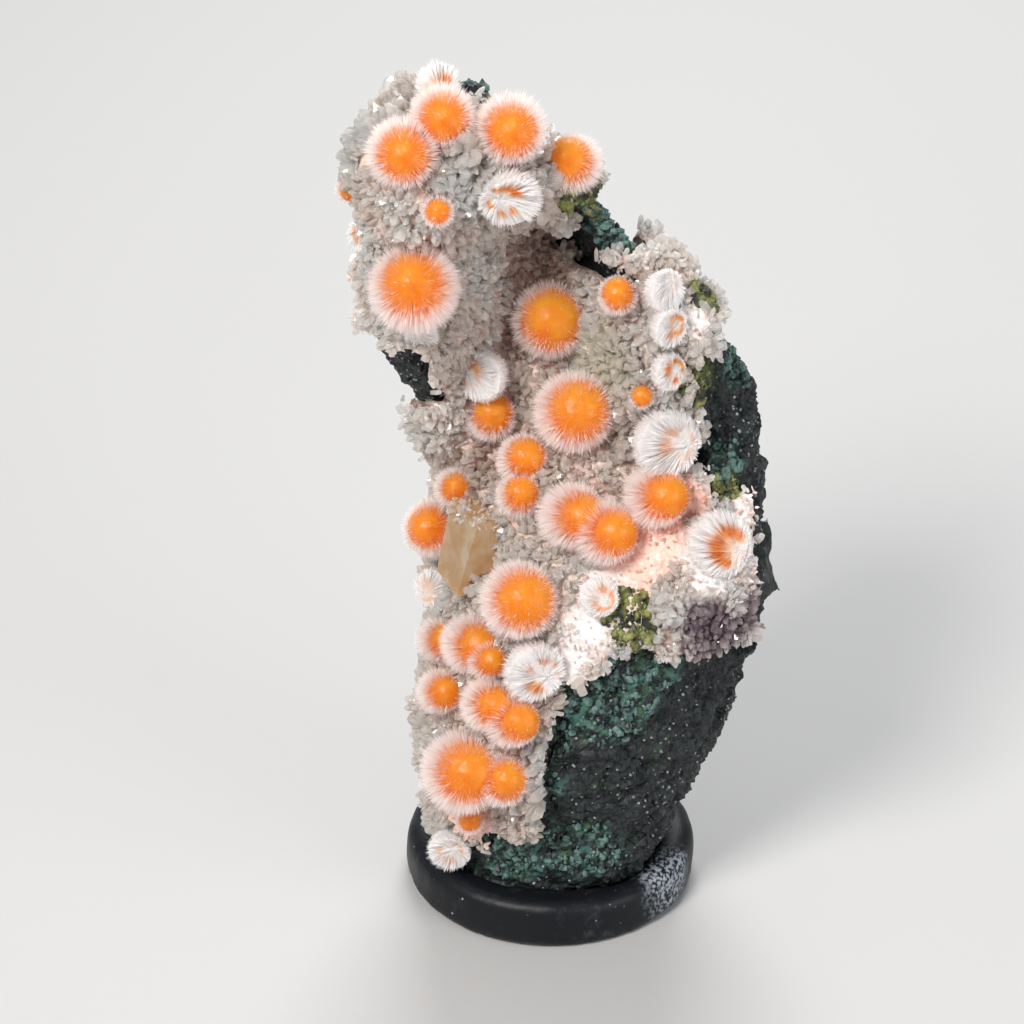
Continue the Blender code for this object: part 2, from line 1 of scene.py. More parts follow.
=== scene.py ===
"""Looks of a standing thomsonite specimen, laid out as a Blender add-on.

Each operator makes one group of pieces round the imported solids: the basalt, the druse, the
thomsonite sprays, the calcite, the putty pad, and the stage. Run as a script, the file makes
them all. Lengths are millimetres until a mesh is made, and metres in Blender. Crystals are
placed by where they are seen: millimetres right of and above the pad's middle on an upright
sight plane, from the eye that the camera stands at.
"""

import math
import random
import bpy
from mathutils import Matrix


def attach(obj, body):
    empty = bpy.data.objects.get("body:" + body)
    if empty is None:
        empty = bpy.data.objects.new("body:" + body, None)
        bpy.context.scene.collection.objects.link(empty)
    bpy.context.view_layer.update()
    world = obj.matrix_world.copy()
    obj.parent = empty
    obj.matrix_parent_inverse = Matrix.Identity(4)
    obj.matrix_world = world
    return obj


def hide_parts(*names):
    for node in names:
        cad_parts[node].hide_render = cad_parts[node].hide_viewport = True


bl_info = {
    "name": "Thomsonite Specimen",
    "version": (1, 0, 0),
    "blender": (4, 5, 0),
    "location": "View3D > Sidebar > Specimen",
    "description": "Dresses a standing mineral specimen: thomsonite sprays and druse on basalt",
    "category": "Object",
}

from collections import namedtuple

import bmesh
import bpy
import numpy as np
from bpy.props import FloatProperty, FloatVectorProperty, IntProperty, PointerProperty
from mathutils import Vector, noise
from mathutils.bvhtree import BVHTree
from mathutils.kdtree import KDTree

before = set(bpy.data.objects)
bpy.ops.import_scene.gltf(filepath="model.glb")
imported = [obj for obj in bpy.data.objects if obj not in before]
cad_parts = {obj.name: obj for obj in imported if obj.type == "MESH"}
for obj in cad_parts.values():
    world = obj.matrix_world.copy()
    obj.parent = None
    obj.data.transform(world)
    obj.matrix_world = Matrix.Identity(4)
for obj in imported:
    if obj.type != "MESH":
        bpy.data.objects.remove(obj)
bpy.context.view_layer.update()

METRES = 0.001

# The sight plane and the eye
SIGHT_TILT = math.radians(30)
EYE_DISTANCE = 450.0
EYE_RIGHT, EYE_UP = -4.75, 44.0
SEEN_WIDTH = 128.0
RIGHT = Vector((1, 0, 0))
UP = Vector((0, math.sin(SIGHT_TILT), math.cos(SIGHT_TILT)))
AHEAD = Vector((0, math.cos(SIGHT_TILT), -math.sin(SIGHT_TILT)))
EYE = RIGHT * EYE_RIGHT + UP * EYE_UP - AHEAD * EYE_DISTANCE

# How thick the druse is round the sprays in mm, and how far out a broken face lies in radii
DRUSE_HEIGHT = 2.5
BROKEN_AT = 0.25

Lobe = namedtuple("Lobe", "middle radius facing root")

# Each spray's round lobes as seen (right, up, radius), how far their middles stand above the
# druse, in radii, and the way that a broken spray's flat side looks
SPRAYS = {
    "crown": ([(-14.0, 97.5, 3.2)], -0.1, (0.1, -0.75, 0.65)),
    "crest": ([(-18.5, 89.0, 5.1), (-13.5, 93.5, 4.7), (-5.0, 92.0, 5.1)], 0.2, None),
    "rim_right": ([(3.0, 87.5, 4.2)], 0.0, None),
    "burst": ([(-5.0, 83.0, 4.4)], 0.2, (0.1, -0.9, -0.3)),
    "big_left": ([(-17.0, 72.0, 6.4)], 0.25, None),
    "left_foot": ([(-16.0, 66.0, 2.4)], 0.2, (0.0, -0.7, -0.7)),
    "left_lip": ([(-8.5, 61.0, 3.7)], 0.2, (-0.5, -0.8, 0.2)),
    "deep": ([(0.0, 68.0, 5.4)], 0.1, None),
    "heart": ([(3.0, 56.5, 5.7)], 0.25, None),
    "shade": ([(-7.5, 56.0, 3.7)], 0.1, None),
    "pair": ([(-3.5, 50.5, 3.7), (-4.0, 46.0, 3.3)], 0.15, None),
    "edge": ([(-14.5, 42.0, 4.3)], 0.1, None),
    "edge_fuzz": ([(-12.0, 47.0, 3.0)], 0.1, None),
    "edge_fan": ([(-14.5, 34.5, 2.9)], 0.2, (-0.4, -0.8, 0.3)),
    "trio": ([(2.5, 43.5, 4.8), (6.5, 41.5, 4.7), (13.0, 46.0, 4.6)], 0.2, None),
    "white_fan": ([(14.5, 52.5, 4.8)], 0.3, (0.3, -0.9, 0.1)),
    "shoulder": ([(21.0, 40.0, 4.6)], 0.1, (0.2, -0.8, 0.5)),
    "front": ([(-4.0, 33.0, 5.5)], 0.2, None),
    "ring": ([(-2.0, 24.0, 4.3)], 0.2, (0.3, -0.9, 0.1)),
    "column": ([(-10.0, 27.5, 4.3), (-8.0, 25.5, 2.9)], 0.1, None),
    "column_side": ([(-14.0, 28.0, 3.3)], 0.1, None),
    "column_foot": ([(-14.0, 21.5, 3.3)], 0.1, None),
    "pile": ([(-8.0, 20.0, 3.9), (-5.0, 18.0, 4.0)], 0.2, None),
    "low": ([(-11.0, 11.5, 5.9), (-6.0, 10.5, 3.9)], 0.1, None),
    "low_edge": ([(-10.0, 5.5, 2.2)], 0.1, None),
    "foot_fan": ([(-12.5, 1.5, 3.2)], 0.1, (-0.1, -0.9, -0.2)),
    "rim_fan": ([(14.5, 71.5, 3.1)], 0.2, (0.6, -0.7, 0.3)),
    "rim_top": ([(15.0, 67.0, 2.9)], 0.2, (0.6, -0.8, 0.1)),
    "rim_mid": ([(15.0, 61.5, 2.8)], 0.2, (0.6, -0.8, 0.1)),
    "far": ([(8.5, 71.0, 2.9)], 0.38, None),
    "bud": ([(11.5, 58.5, 2.0)], 0.2, None),
    "left_tip": ([(-25.0, 84.5, 2.2)], 0.1, None),
    "left_chip": ([(-23.5, 78.5, 2.4)], 0.1, (-0.6, -0.7, 0.2)),
    "head_bud": ([(-14.0, 81.5, 2.4)], 0.2, None),
    "ledge_fan": ([(6.0, 33.5, 2.9)], 0.3, (0.2, -0.7, 0.6)),
}

# Where the needles of a spray start, as seen: right of and above its middle, in radii
ROOTS = {
    "crown": (0.15, -0.5), "crest": (0.05, -0.1), "rim_right": (-0.15, 0.1), "burst": (-0.35, 0.3),
    "big_left": (0.0, 0.05), "left_foot": (-0.3, 0.3), "left_lip": (-0.6, 0.1), "deep": (0.05, 0.0),
    "heart": (0.1, 0.02), "shade": (0.1, 0.1), "pair": (0.15, 0.1), "edge": (-0.15, 0.0),
    "edge_fuzz": (0.1, 0.0), "edge_fan": (-0.5, -0.3), "trio": (0.32, -0.02),
    "white_fan": (0.62, -0.1), "shoulder": (0.6, -0.2), "front": (0.15, 0.0), "ring": (0.4, -0.2),
    "column": (0.25, -0.05), "column_side": (0.3, 0.0), "column_foot": (0.3, 0.0),
    "pile": (0.3, -0.05), "low": (0.15, 0.0), "low_edge": (0.0, 0.0), "foot_fan": (0.15, 0.4),
    "rim_fan": (0.3, 0.5), "rim_top": (0.4, 0.1), "rim_mid": (0.4, 0.1), "far": (0.0, 0.1),
    "bud": (0.0, 0.0), "left_tip": (0.0, -0.2), "left_chip": (0.2, 0.4), "head_bud": (0.0, 0.0),
    "ledge_fan": (0.4, -0.3),
}

# Radius of the orange core where it isn't the usual one, as a share of the spray's
CORES = {
    "deep": 0.76, "rim_right": 0.7, "heart": 0.7, "front": 0.71, "edge": 0.62, "shade": 0.7,
    "bud": 0.66, "far": 0.7, "left_tip": 0.55, "low": 0.68, "pair": 0.66, "edge_fuzz": 0.6,
    "big_left": 0.65,
}

# How much orange a broken spray shows between its root and its white silky outside
ORANGE = {
    "crown": 0.9, "burst": 0.9, "left_foot": 0.2, "left_lip": 0.7, "edge_fan": 0.45,
    "white_fan": 0.45, "shoulder": 1.0, "ring": 0.9, "foot_fan": 0.4, "rim_fan": 0.3,
    "rim_top": 1.0, "rim_mid": 1.0, "left_chip": 0.6, "ledge_fan": 0.6,
}

# Places on the rock as seen, each with its radius: celadonite, moss-green crusts, rock left bare
# by the druse, druse that is salmon-pink, white and silky, cream, tan and darker as painted shade
# in the hollows, and dusky
TEAL_PATCHES = (
    ((7.0, 21.0), 6.5), ((13.0, 24.0), 4.0), ((-2.5, 1.5), 5.0), ((4.5, 1.0), 4.5),
    ((-6.0, 0.5), 3.5), ((24.0, 63.0), 3.0), ((22.5, 50.0), 2.5), ((6.5, 81.0), 5.5),
    ((12.0, 77.0), 4.0), ((-8.7, 99.0), 2.5), ((0.5, 16.0), 2.2), ((-0.5, 9.5), 2.4),
)
MOSS_PATCHES = (
    ((10.5, 30.8), 3.6), ((14.5, 34.3), 2.0), ((-1.0, 94.0), 3.0), ((19.0, 71.0), 2.5),
    ((18.5, 60.0), 2.5), ((4.0, 83.0), 3.5), ((22.0, 47.0), 2.0), ((-21.0, 59.0), 2.5),
    ((-6.0, 95.5), 1.5),
)
BARE_PATCHES = (((-18.5, 62.5), 3.6), ((-20.5, 65.0), 2.6), ((-16.0, 59.5), 2.4))
PINK_PATCHES = (((14.0, 39.5), 4.5), ((10.5, 37.0), 4.0), ((17.5, 46.0), 3.0), ((-9.0, 6.0), 4.0))
WHITE_PATCHES = (
    ((6.5, 33.5), 3.2), ((4.5, 29.0), 3.6), ((2.0, 25.0), 2.8), ((20.0, 36.5), 3.5),
    ((23.5, 44.5), 3.0), ((-24.0, 74.5), 3.0), ((-22.0, 70.0), 2.5), ((17.0, 68.0), 2.5),
    ((19.5, 49.0), 2.5), ((24.0, 38.5), 3.2),
)
CREAM_PATCHES = (((8.0, 63.0), 5.0),)
# Tan and darker druse: painted shade in the hollows
TAN_SHADE_PATCHES = (
    ((-3.0, 76.5), 6.0), ((2.0, 74.0), 4.0), ((-7.0, 51.0), 4.0), ((-9.5, 45.0), 3.5),
    ((-5.0, 66.0), 3.0),
)
DUSKY_PATCHES = (((19.5, 30.5), 4.5), ((24.5, 33.0), 3.5))

# Where the clear crystals are larger, as seen
LARGE_PATCHES = (
    ((-10.0, 86.5), 4.0), ((0.5, 88.0), 3.0), ((-21.0, 95.0), 4.0), ((-24.0, 88.0), 3.5),
    ((-2.5, 9.5), 2.6), ((-1.0, 14.0), 2.2),
)

# Where the druse is whole right through, as seen, and where rock begins at the right-hand bulge
WHOLE_PATCHES = (((0.0, 48.0), 5.0), ((9.0, 52.0), 5.0), ((0.0, 60.0), 8.0), ((18.5, 46.5), 2.5))
BULGE_EDGE = 25.8

# Small gaps between sprays, as seen, where crystals stand on the rock itself
GAPS = ((-0.5, 48.1), (9.0, 52.4))

# Shares of a spray's radius where its needles start, and of a needle's length where it is widest
NEEDLE_FOOT = 0.56
NEEDLE_WAIST = 0.72

# Shares of a spray's radius where its needles end, where the few long ones end, and where the
# inside of a broken one ends, and how many are long
NEEDLE_ENDS = (0.86, 1.0)
LONG_ENDS = (1.02, 1.08)
BROKEN_ENDS = 0.82
LONG_SHARE = 0.02

# The side of a spray towards the eye, where its needles let the core show: from which cosine to
# the sight line and over how much more of it, and how much shorter, fewer and more orange it is
FRONT_FROM = 0.48
FRONT_OVER = 0.42
FRONT_SHORTER = 0.16
FRONT_FEWER = 0.4
FRONT_ORANGE = 0.42

# How high over the rock a needle's tip has to be in mm, and how near another spray's middle it
# may come in radii
LOWEST_TIP = 1.9
NEAREST_TIP = 0.68

# How far a patch's colour reaches past its radius in mm: to nothing, to full, and its unevenness
PATCH_NOTHING = 4.5
PATCH_FULL = 1.5
PATCH_UNEVEN = 6.0

# The rock's relief: sizes in mm of its round lumps and sharp ridges, its gas bubbles, and how far
# it is drawn back where the druse is near
ROUND_LUMPS = (2.6, 1.2)
SHARP_RIDGES = (4.0, 0.9)
BUBBLES = 420
NEAR_DRUSE = 0.4
DRAWN_BACK = 0.25

# The druse: the edge length of its floor's mesh and how far the floor is shaken and drawn in, in
# mm, how much crystals lean, and how many stand on each gap and on the calcite
DRUSE_GRAIN = 0.62
FLOOR_SHAKE = 0.4
FLOOR_DRAWN_IN = 0.3
CRYSTAL_LEAN = 0.38
GAP_CRYSTALS = 70
CALCITE_CRYSTALS = 500

# How far the druse ends from the crust's rim, its fine and broad rags as (depth, size), and how
# far from a spray it is always whole, in mm
EDGE_REACH = 0.6
FINE_RAGS = (1.2, 1.8)
BROAD_RAGS = (2.0, 4.5)
KEPT_ROUND_SPRAYS = 1.2


class SpraySettings(bpy.types.PropertyGroup):
    """Sizes and colours of the thomsonite."""

    needles_per_mm2: FloatProperty(
        name="Needle density", description="Needles on each square millimetre of a spray",
        default=31.0,
    )
    needle_width: FloatProperty(
        name="Needle width", description="Width of a needle where it is widest",
        default=0.036 * METRES, unit="LENGTH",
    )
    core_share: FloatProperty(
        name="Core", description="Radius of the orange core, as a share of the spray's",
        default=0.64, subtype="FACTOR",
    )
    core_colour: FloatVectorProperty(
        name="Core colour", description="Colour of the compact core",
        default=(0.97, 0.33, 0.015), subtype="COLOR",
    )
    tip_colour: FloatVectorProperty(
        name="Tip colour", description="Colour of the needle tips",
        default=(0.98, 0.93, 0.91), subtype="COLOR",
    )


class DruseSettings(bpy.types.PropertyGroup):
    """Sizes and colours of the crust of small crystals."""

    crystals: IntProperty(
        name="Crystals", description="How many crystals stand on the crust", default=16500
    )
    shortest: FloatProperty(
        name="Shortest", description="Length of the smallest crystals",
        default=0.4 * METRES, unit="LENGTH",
    )
    longest: FloatProperty(
        name="Longest", description="Length of the largest crystals",
        default=1.35 * METRES, unit="LENGTH",
    )
    colour: FloatVectorProperty(
        name="Colour", description="Colour of the clear crystals",
        default=(0.99, 0.93, 0.88), subtype="COLOR",
    )


class BasaltSettings(bpy.types.PropertyGroup):
    """Grain and colours of the rock."""

    grain: FloatProperty(
        name="Grain", description="Edge length of the rock's mesh",
        default=0.47 * METRES, unit="LENGTH",
    )
    roughness_height: FloatProperty(
        name="Roughness height", description="How far lumps stand out",
        default=0.5 * METRES, unit="LENGTH",
    )
    dark: FloatVectorProperty(
        name="Dark", description="Colour of the dark basalt",
        default=(0.003, 0.004, 0.005), subtype="COLOR",
    )
    light: FloatVectorProperty(
        name="Light", description="Colour of its lighter grains",
        default=(0.038, 0.044, 0.044), subtype="COLOR",
    )
    teal: FloatVectorProperty(
        name="Teal", description="Colour of the celadonite",
        default=(0.05, 0.13, 0.12), subtype="COLOR",
    )
    moss: FloatVectorProperty(
        name="Moss", description="Colour of the yellow-green crust",
        default=(0.12, 0.14, 0.03), subtype="COLOR",
    )


class CalciteSettings(bpy.types.PropertyGroup):
    """Colour of the calcite."""

    colour: FloatVectorProperty(
        name="Colour", description="Colour of the clear crystal",
        default=(0.84, 0.56, 0.29), subtype="COLOR",
    )


class PuttySettings(bpy.types.PropertyGroup):
    """Colours of the pad."""

    black: FloatVectorProperty(
        name="Black", description="Colour of the putty",
        default=(0.005, 0.006, 0.008), subtype="COLOR",
    )
    dust: FloatVectorProperty(
        name="Dust", description="Colour of the dust on it",
        default=(0.35, 0.38, 0.42), subtype="COLOR",
    )


class StageSettings(bpy.types.PropertyGroup):
    """The floor and the lights."""

    floor_colour: FloatVectorProperty(
        name="Floor", description="Colour of the floor",
        default=(0.50, 0.495, 0.485), subtype="COLOR",
    )
    key_power: FloatProperty(
        name="Key light", description="Power of the main light", default=5.0, unit="POWER"
    )


class Wire:
    """A socket that carries a number. An expression on it adds Math nodes."""

    def __init__(self, finish, socket):
        self.finish, self.socket = finish, socket

    def calculate(self, operation, *values):
        made = self.finish.node("ShaderNodeMath", {"operation": operation}, dict(enumerate(values)))
        return Wire(self.finish, made.outputs[0])

    def __add__(self, other):
        return self.calculate("ADD", self, other)

    def __sub__(self, other):
        return self.calculate("SUBTRACT", self, other)

    def __mul__(self, other):
        return self.calculate("MULTIPLY", self, other)

    def __rsub__(self, other):
        return self.calculate("SUBTRACT", other, self)

    __radd__, __rmul__ = __add__, __mul__

    def either(self, other):
        """The larger of two values."""
        return self.calculate("MAXIMUM", self, other)

    def step(self, low, high):
        """0 below low and 1 above high, smooth between them."""
        made = self.finish.node(
            "ShaderNodeMapRange",
            {"interpolation_type": "SMOOTHSTEP"},
            {"Value": self, "From Min": low, "From Max": high},
        )
        return Wire(self.finish, made.outputs["Result"])


class Finish:
    """A material while it is made."""

    def __init__(self, name):
        self.material = bpy.data.materials.new(name)
        self.material.use_nodes = True
        self.tree = self.material.node_tree
        self.shader = self.tree.nodes["Principled BSDF"]
        self.place = self.node("ShaderNodeTexCoord").outputs["Object"]

    def node(self, kind, settings=(), inputs=()):
        """Any node: its type, its settings and then the values or links of its sockets."""
        made = self.tree.nodes.new(kind)
        for name, value in dict(settings).items():
            if name == "stops":
                self.set_stops(made.color_ramp, value)
            else:
                setattr(made, name, value)
        for name, value in dict(inputs).items():
            self.feed(made.inputs[name], value)
        return made

    def set_stops(self, ramp, stops):
        """A ramp's (position, colour) stops."""
        while len(ramp.elements) < len(stops):
            ramp.elements.new(0.5)
        for element, (position, colour) in zip(ramp.elements, stops):
            element.position = position
            element.color = (*colour, 1.0)

    def feed(self, socket, value):
        """Sets a socket to a value, or links it."""
        if isinstance(value, Wire):
            self.tree.links.new(value.socket, socket)
        elif isinstance(value, bpy.types.NodeSocket):
            self.tree.links.new(value, socket)
        elif socket.type == "RGBA" and len(value) == 3:
            socket.default_value = (*value, 1.0)
        else:
            socket.default_value = value

    def set(self, **inputs):
        """Sets the shader's sockets, named with underscores for spaces."""
        for name, value in inputs.items():
            self.feed(self.shader.inputs[name.replace("_", " ")], value)
        return self

    def let_through(self, share, colour):
        """Lets a share of the light through the surface, as thin fibres do."""
        through = self.node("ShaderNodeBsdfTranslucent", {}, {"Color": colour})
        mixed = {0: share, 1: self.shader.outputs[0], 2: through.outputs[0]}
        both = self.node("ShaderNodeMixShader", {}, mixed)
        self.tree.links.new(both.outputs[0], self.tree.nodes["Material Output"].inputs["Surface"])
        return self

    def noise(self, size, detail=3.0, roughness=0.55):
        """Noise with lumps of a size in millimetres, from 0 to 1."""
        inputs = {"Vector": self.place, "Scale": 1000 / size}
        inputs.update({"Detail": detail, "Roughness": roughness})
        made = self.node("ShaderNodeTexNoise", {}, inputs)
        return Wire(self, made.outputs["Fac"])

    def cells(self, size):
        """Distance to the nearest of scattered points, in cells of a size in millimetres."""
        inputs = {"Vector": self.place, "Scale": 1000 / size}
        made = self.node("ShaderNodeTexVoronoi", {"feature": "F1"}, inputs)
        return Wire(self, made.outputs["Distance"])

    def mix(self, mask, first, second):
        """The first colour where the mask is 0, and the second where it is 1."""
        made = self.node("ShaderNodeMix", {"data_type": "RGBA"}, {0: mask, 6: first, 7: second})
        return made.outputs[2]

    def ramp(self, value, stops):
        """A colour that follows a value."""
        return self.node("ShaderNodeValToRGB", {"stops": stops}, {"Fac": value}).outputs["Color"]

    def distance_from(self, point):
        """How far the surface is from a point, in millimetres."""
        inputs = {0: self.place, 1: point * METRES}
        made = self.node("ShaderNodeVectorMath", {"operation": "DISTANCE"}, inputs)
        return Wire(self, made.outputs["Value"]) * 1000

    def bump(self, height, strength, depth):
        """Bumps of a depth in millimetres, for the shader's Normal."""
        inputs = {"Strength": strength, "Distance": depth * METRES, "Height": height}
        return self.node("ShaderNodeBump", {}, inputs).outputs["Normal"]


def seen(point):
    """Where a point is seen: (right, up) on the sight plane."""
    from_eye = point - EYE
    enlarged = EYE_DISTANCE / from_eye.dot(AHEAD)
    return EYE_RIGHT + from_eye.dot(RIGHT) * enlarged, EYE_UP + from_eye.dot(UP) * enlarged


def sight_line(right, up):
    """The direction in which a seen place lies from the eye."""
    return (RIGHT * right + UP * up - EYE).normalized()


def solid_tree(name):
    """A solid's surface in millimetres, for questions about distance."""
    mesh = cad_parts[name].data
    points = [vertex.co / METRES for vertex in mesh.vertices]
    return BVHTree.FromPolygons(points, [tuple(face.vertices) for face in mesh.polygons])


def height_over(tree, point):
    """How far a point is outside a surface, negative inside it."""
    nearest, normal, _, distance = tree.find_nearest(point)
    return math.copysign(distance, (point - nearest).dot(normal))


def stands_at(tree, right, up, height):
    """The point seen at (right, up) that stands this high over the rock, nearest the eye."""
    towards = sight_line(right, up)
    nearest, closest = None, math.inf
    point = EYE + towards * (EYE_DISTANCE - 90)
    for _ in range(400):
        distance = tree.find_nearest(point)[3] - height
        if distance < closest:
            nearest, closest = point.copy(), distance
        if distance < 0.01:
            break
        point += towards * max(0.02, min(distance, 1.0))
    return nearest


def lobes_of(tree, places, lift, facing, root):
    """A spray's lobes, at their places and real sizes."""
    shift = RIGHT * root[0] + UP * root[1]
    if facing:
        facing = Vector(facing).normalized()
        shift -= facing * shift.dot(facing)
    lobes = []
    for right, up, seen_radius in places:
        middle = stands_at(tree, right, up, DRUSE_HEIGHT + lift * seen_radius)
        radius = seen_radius * (middle - EYE).dot(AHEAD) / EYE_DISTANCE
        lobes.append(Lobe(middle, radius, facing, shift * radius))
    return lobes


ROCK = solid_tree("basalt_matrix")
LOBES = {name: lobes_of(ROCK, *spray, ROOTS[name]) for name, spray in SPRAYS.items()}
EVERY_LOBE = [lobe for lobes in LOBES.values() for lobe in lobes]


def add_piece(name, points, faces, finish, nodes=(), uv=None):
    """A piece of the specimen from points in millimetres, which stands for some of the solids."""
    mesh = bpy.data.meshes.new(name)
    mesh.from_pydata(np.asarray(points, dtype=float) * METRES, [], faces)
    if uv is not None:
        corners = np.empty(len(mesh.loops), dtype=np.int32)
        mesh.loops.foreach_get("vertex_index", corners)
        places = uv[corners].astype(np.float32).ravel()
        mesh.uv_layers.new(name="OFBake").data.foreach_set("uv", places)
    mesh.materials.append(finish.material)
    piece = bpy.data.objects.new(name, mesh)
    bpy.context.scene.collection.objects.link(piece)
    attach(piece, "root")
    if nodes:
        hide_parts(*nodes)
    return piece


def fine_surface(node, grain, relax):
    """A solid's surface as a fine even mesh with worn edges: points in mm, normals and faces."""
    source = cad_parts[node]
    copy = bpy.data.objects.new(f"{node}_fine", source.data.copy())
    bpy.context.scene.collection.objects.link(copy)
    remesh = copy.modifiers.new("even", "REMESH")
    remesh.mode = "VOXEL"
    remesh.voxel_size = grain
    smooth = copy.modifiers.new("worn", "SMOOTH")
    smooth.factor = 0.5
    smooth.iterations = relax
    bpy.context.view_layer.update()
    shaped = copy.evaluated_get(bpy.context.evaluated_depsgraph_get()).to_mesh()
    points = np.empty(len(shaped.vertices) * 3)
    shaped.vertices.foreach_get("co", points)
    normals = np.empty(len(shaped.vertices) * 3)
    shaped.vertices.foreach_get("normal", normals)
    faces = [tuple(face.vertices) for face in shaped.polygons]
    bpy.data.objects.remove(copy)
    return points.reshape(-1, 3) / METRES, normals.reshape(-1, 3), faces


def lumps(points, size, seed):
    """Smooth noise from -1 to 1 at each point, with lumps of a size in millimetres."""
    shift = Vector((seed * 17.3, seed * 5.1, seed * 9.7))
    return np.array([noise.noise(Vector(point) / size + shift) for point in points])


def press_pits(points, normals, pits):
    """Presses round pits, each a (place, radius), into the points."""
    for place, radius in pits:
        share = np.linalg.norm(points - np.array(place), axis=1) / radius
        inside = share < 1
        depth = radius * 0.7 * np.sqrt(1 - share[inside] ** 2)
        points[inside] -= normals[inside] * depth[:, None]


def patch_mask(finish, patches, edge):
    """1 on seen patches of the rock, each a (seen place, radius), and 0 away from them."""
    mask = None
    for middle, radius in patches_on_rock(patches):
        distance = finish.distance_from(middle) + edge * PATCH_UNEVEN
        here = distance.step(radius + PATCH_NOTHING, radius + PATCH_FULL)
        mask = mask.either(here) if mask else here
    return mask


def paint_patches(finish, edge, colour, shades):
    """A colour with patches of other shades on it, each given as (patches, shade)."""
    for patches, shade in shades:
        colour = finish.mix(patch_mask(finish, patches, edge), colour, shade)
    return colour


def patches_on_rock(patches):
    """Seen patches as (middle on the rock, radius) pairs."""
    return [(stands_at(ROCK, *place, 0.5), radius) for place, radius in patches]


def in_patches(point, patches):
    """Whether a point lies in one of some (middle, radius) patches, with uneven edges."""
    uneven = 1 + 0.35 * noise.noise(point / 1.7)
    return any((point - middle).length < radius * uneven for middle, radius in patches)


def basalt_finish(settings):
    """Dark broken basalt with lighter grains, teal celadonite and yellow-green crusts."""
    finish = Finish("basalt")
    tone = finish.noise(2.2, detail=6, roughness=0.7)
    grains = finish.noise(0.45, detail=2)
    edge = finish.noise(1.5, detail=5, roughness=0.75)
    shade = (tone * 0.7 + grains * 0.5).step(0.45, 0.85)
    colour = finish.mix(shade, settings.dark, settings.light)
    speck = finish.cells(0.8).step(0.26, 0.14) * finish.noise(4.0).step(0.44, 0.56)
    colour = finish.mix(speck, colour, (0.30, 0.32, 0.31))
    vein = finish.noise(6.0, detail=5, roughness=0.7).step(0.56, 0.66) * 0.5
    teal = patch_mask(finish, TEAL_PATCHES, edge).either(vein)
    chips = finish.noise(1.3, detail=2).step(0.45, 0.58)
    greens = finish.mix(finish.noise(3.0).step(0.4, 0.6), settings.teal, (0.045, 0.10, 0.05))
    colour = finish.mix(teal * chips, colour, greens)
    moss = patch_mask(finish, MOSS_PATCHES, edge)
    colour = finish.mix(moss * grains.step(0.2, 0.5), colour, settings.moss)
    height = tone * 0.5 + grains * 0.5
    finish.set(Base_Color=colour, Roughness=tone * 0.6 + 0.15, Specular_IOR_Level=0.28)
    return finish.set(Normal=finish.bump(height, 0.9, 0.3))


def needle_finish(settings):
    """Thomsonite: its UV map's V says how far out a point is, and U how pale or broken it is.
    On a whole core V holds painted light and shade: golden on its upper side, red-orange below.
    """
    finish = Finish("thomsonite")
    uv = finish.node("ShaderNodeUVMap", {"uv_map": "OFBake"}).outputs["UV"]
    parts = finish.node("ShaderNodeSeparateXYZ", {}, {"Vector": uv})
    kind, out = Wire(finish, parts.outputs["X"]), Wire(finish, parts.outputs["Y"])
    core = Vector(settings.core_colour)
    tip = Vector(settings.tip_colour)
    # Stops 0.05 to 0.50 colour the whole cores with painted light and shade: red-orange on their
    # lower side, golden on their upper side
    whole = finish.ramp(out, [
        (0.05, core.lerp(Vector((0.85, 0.10, 0.0)), 0.8)),
        (0.28, core),
        (0.50, (1.0, 0.48, 0.04)),
        (0.61, (1.0, 0.42, 0.09)),
        (0.70, (0.99, 0.62, 0.44)),
        (0.81, tip),
        (1.0, tip),
    ])
    whole = finish.mix(kind.step(0.0, 0.9), whole, tip)
    silk = (0.98, 0.96, 0.95)
    broken = finish.ramp(out, [
        (0.0, (0.97, 0.92, 0.88)),
        (0.26, (0.96, 0.82, 0.70)),
        (0.40, (0.95, 0.40, 0.09)),
        (0.52, (0.95, 0.46, 0.16)),
        (0.64, (0.97, 0.82, 0.74)),
        (0.72, silk),
        (1.0, silk),
    ])
    broken = finish.mix(kind.step(0.55, 0.95), silk, broken)
    colour = finish.mix(kind.step(0.49, 0.51), whole, broken)
    finish.set(Base_Color=colour, Roughness=0.36, Specular_IOR_Level=0.5)
    return finish.let_through(0.42, colour)


def crystal_finish(settings):
    """Clear crystals, cream in the rosette, dusky on some stretches, and tan and darker as
    painted shade in the hollows.
    """
    finish = Finish("druse")
    tint = finish.noise(7.0, detail=3)
    edge = finish.noise(1.5, detail=4)
    colour = finish.mix(tint.step(0.35, 0.65), settings.colour, (0.98, 0.97, 0.95))
    colour = paint_patches(finish, edge, colour, (
        (CREAM_PATCHES, (1.0, 0.97, 0.88)),
        # tan and darker crystals: painted shade in the hollows
        (TAN_SHADE_PATCHES, (0.86, 0.74, 0.67)),
        (DUSKY_PATCHES, (0.56, 0.46, 0.49)),
    ))
    finish.set(Base_Color=colour, Roughness=0.04, IOR=1.5, Transmission_Weight=0.7)
    return finish.let_through(0.38, colour)


def milky_finish():
    """Milky grains, salmon-pink on some stretches and white on others."""
    finish = Finish("milky_druse")
    edge = finish.noise(1.5, detail=4)
    cloud = finish.noise(4.0, detail=4)
    pink = finish.mix(cloud.step(0.38, 0.62), (0.96, 0.60, 0.48), (0.96, 0.80, 0.74))
    colour = finish.mix(patch_mask(finish, WHITE_PATCHES, edge), pink, (0.97, 0.94, 0.92))
    return finish.set(Base_Color=colour, Roughness=0.3).let_through(0.4, colour)


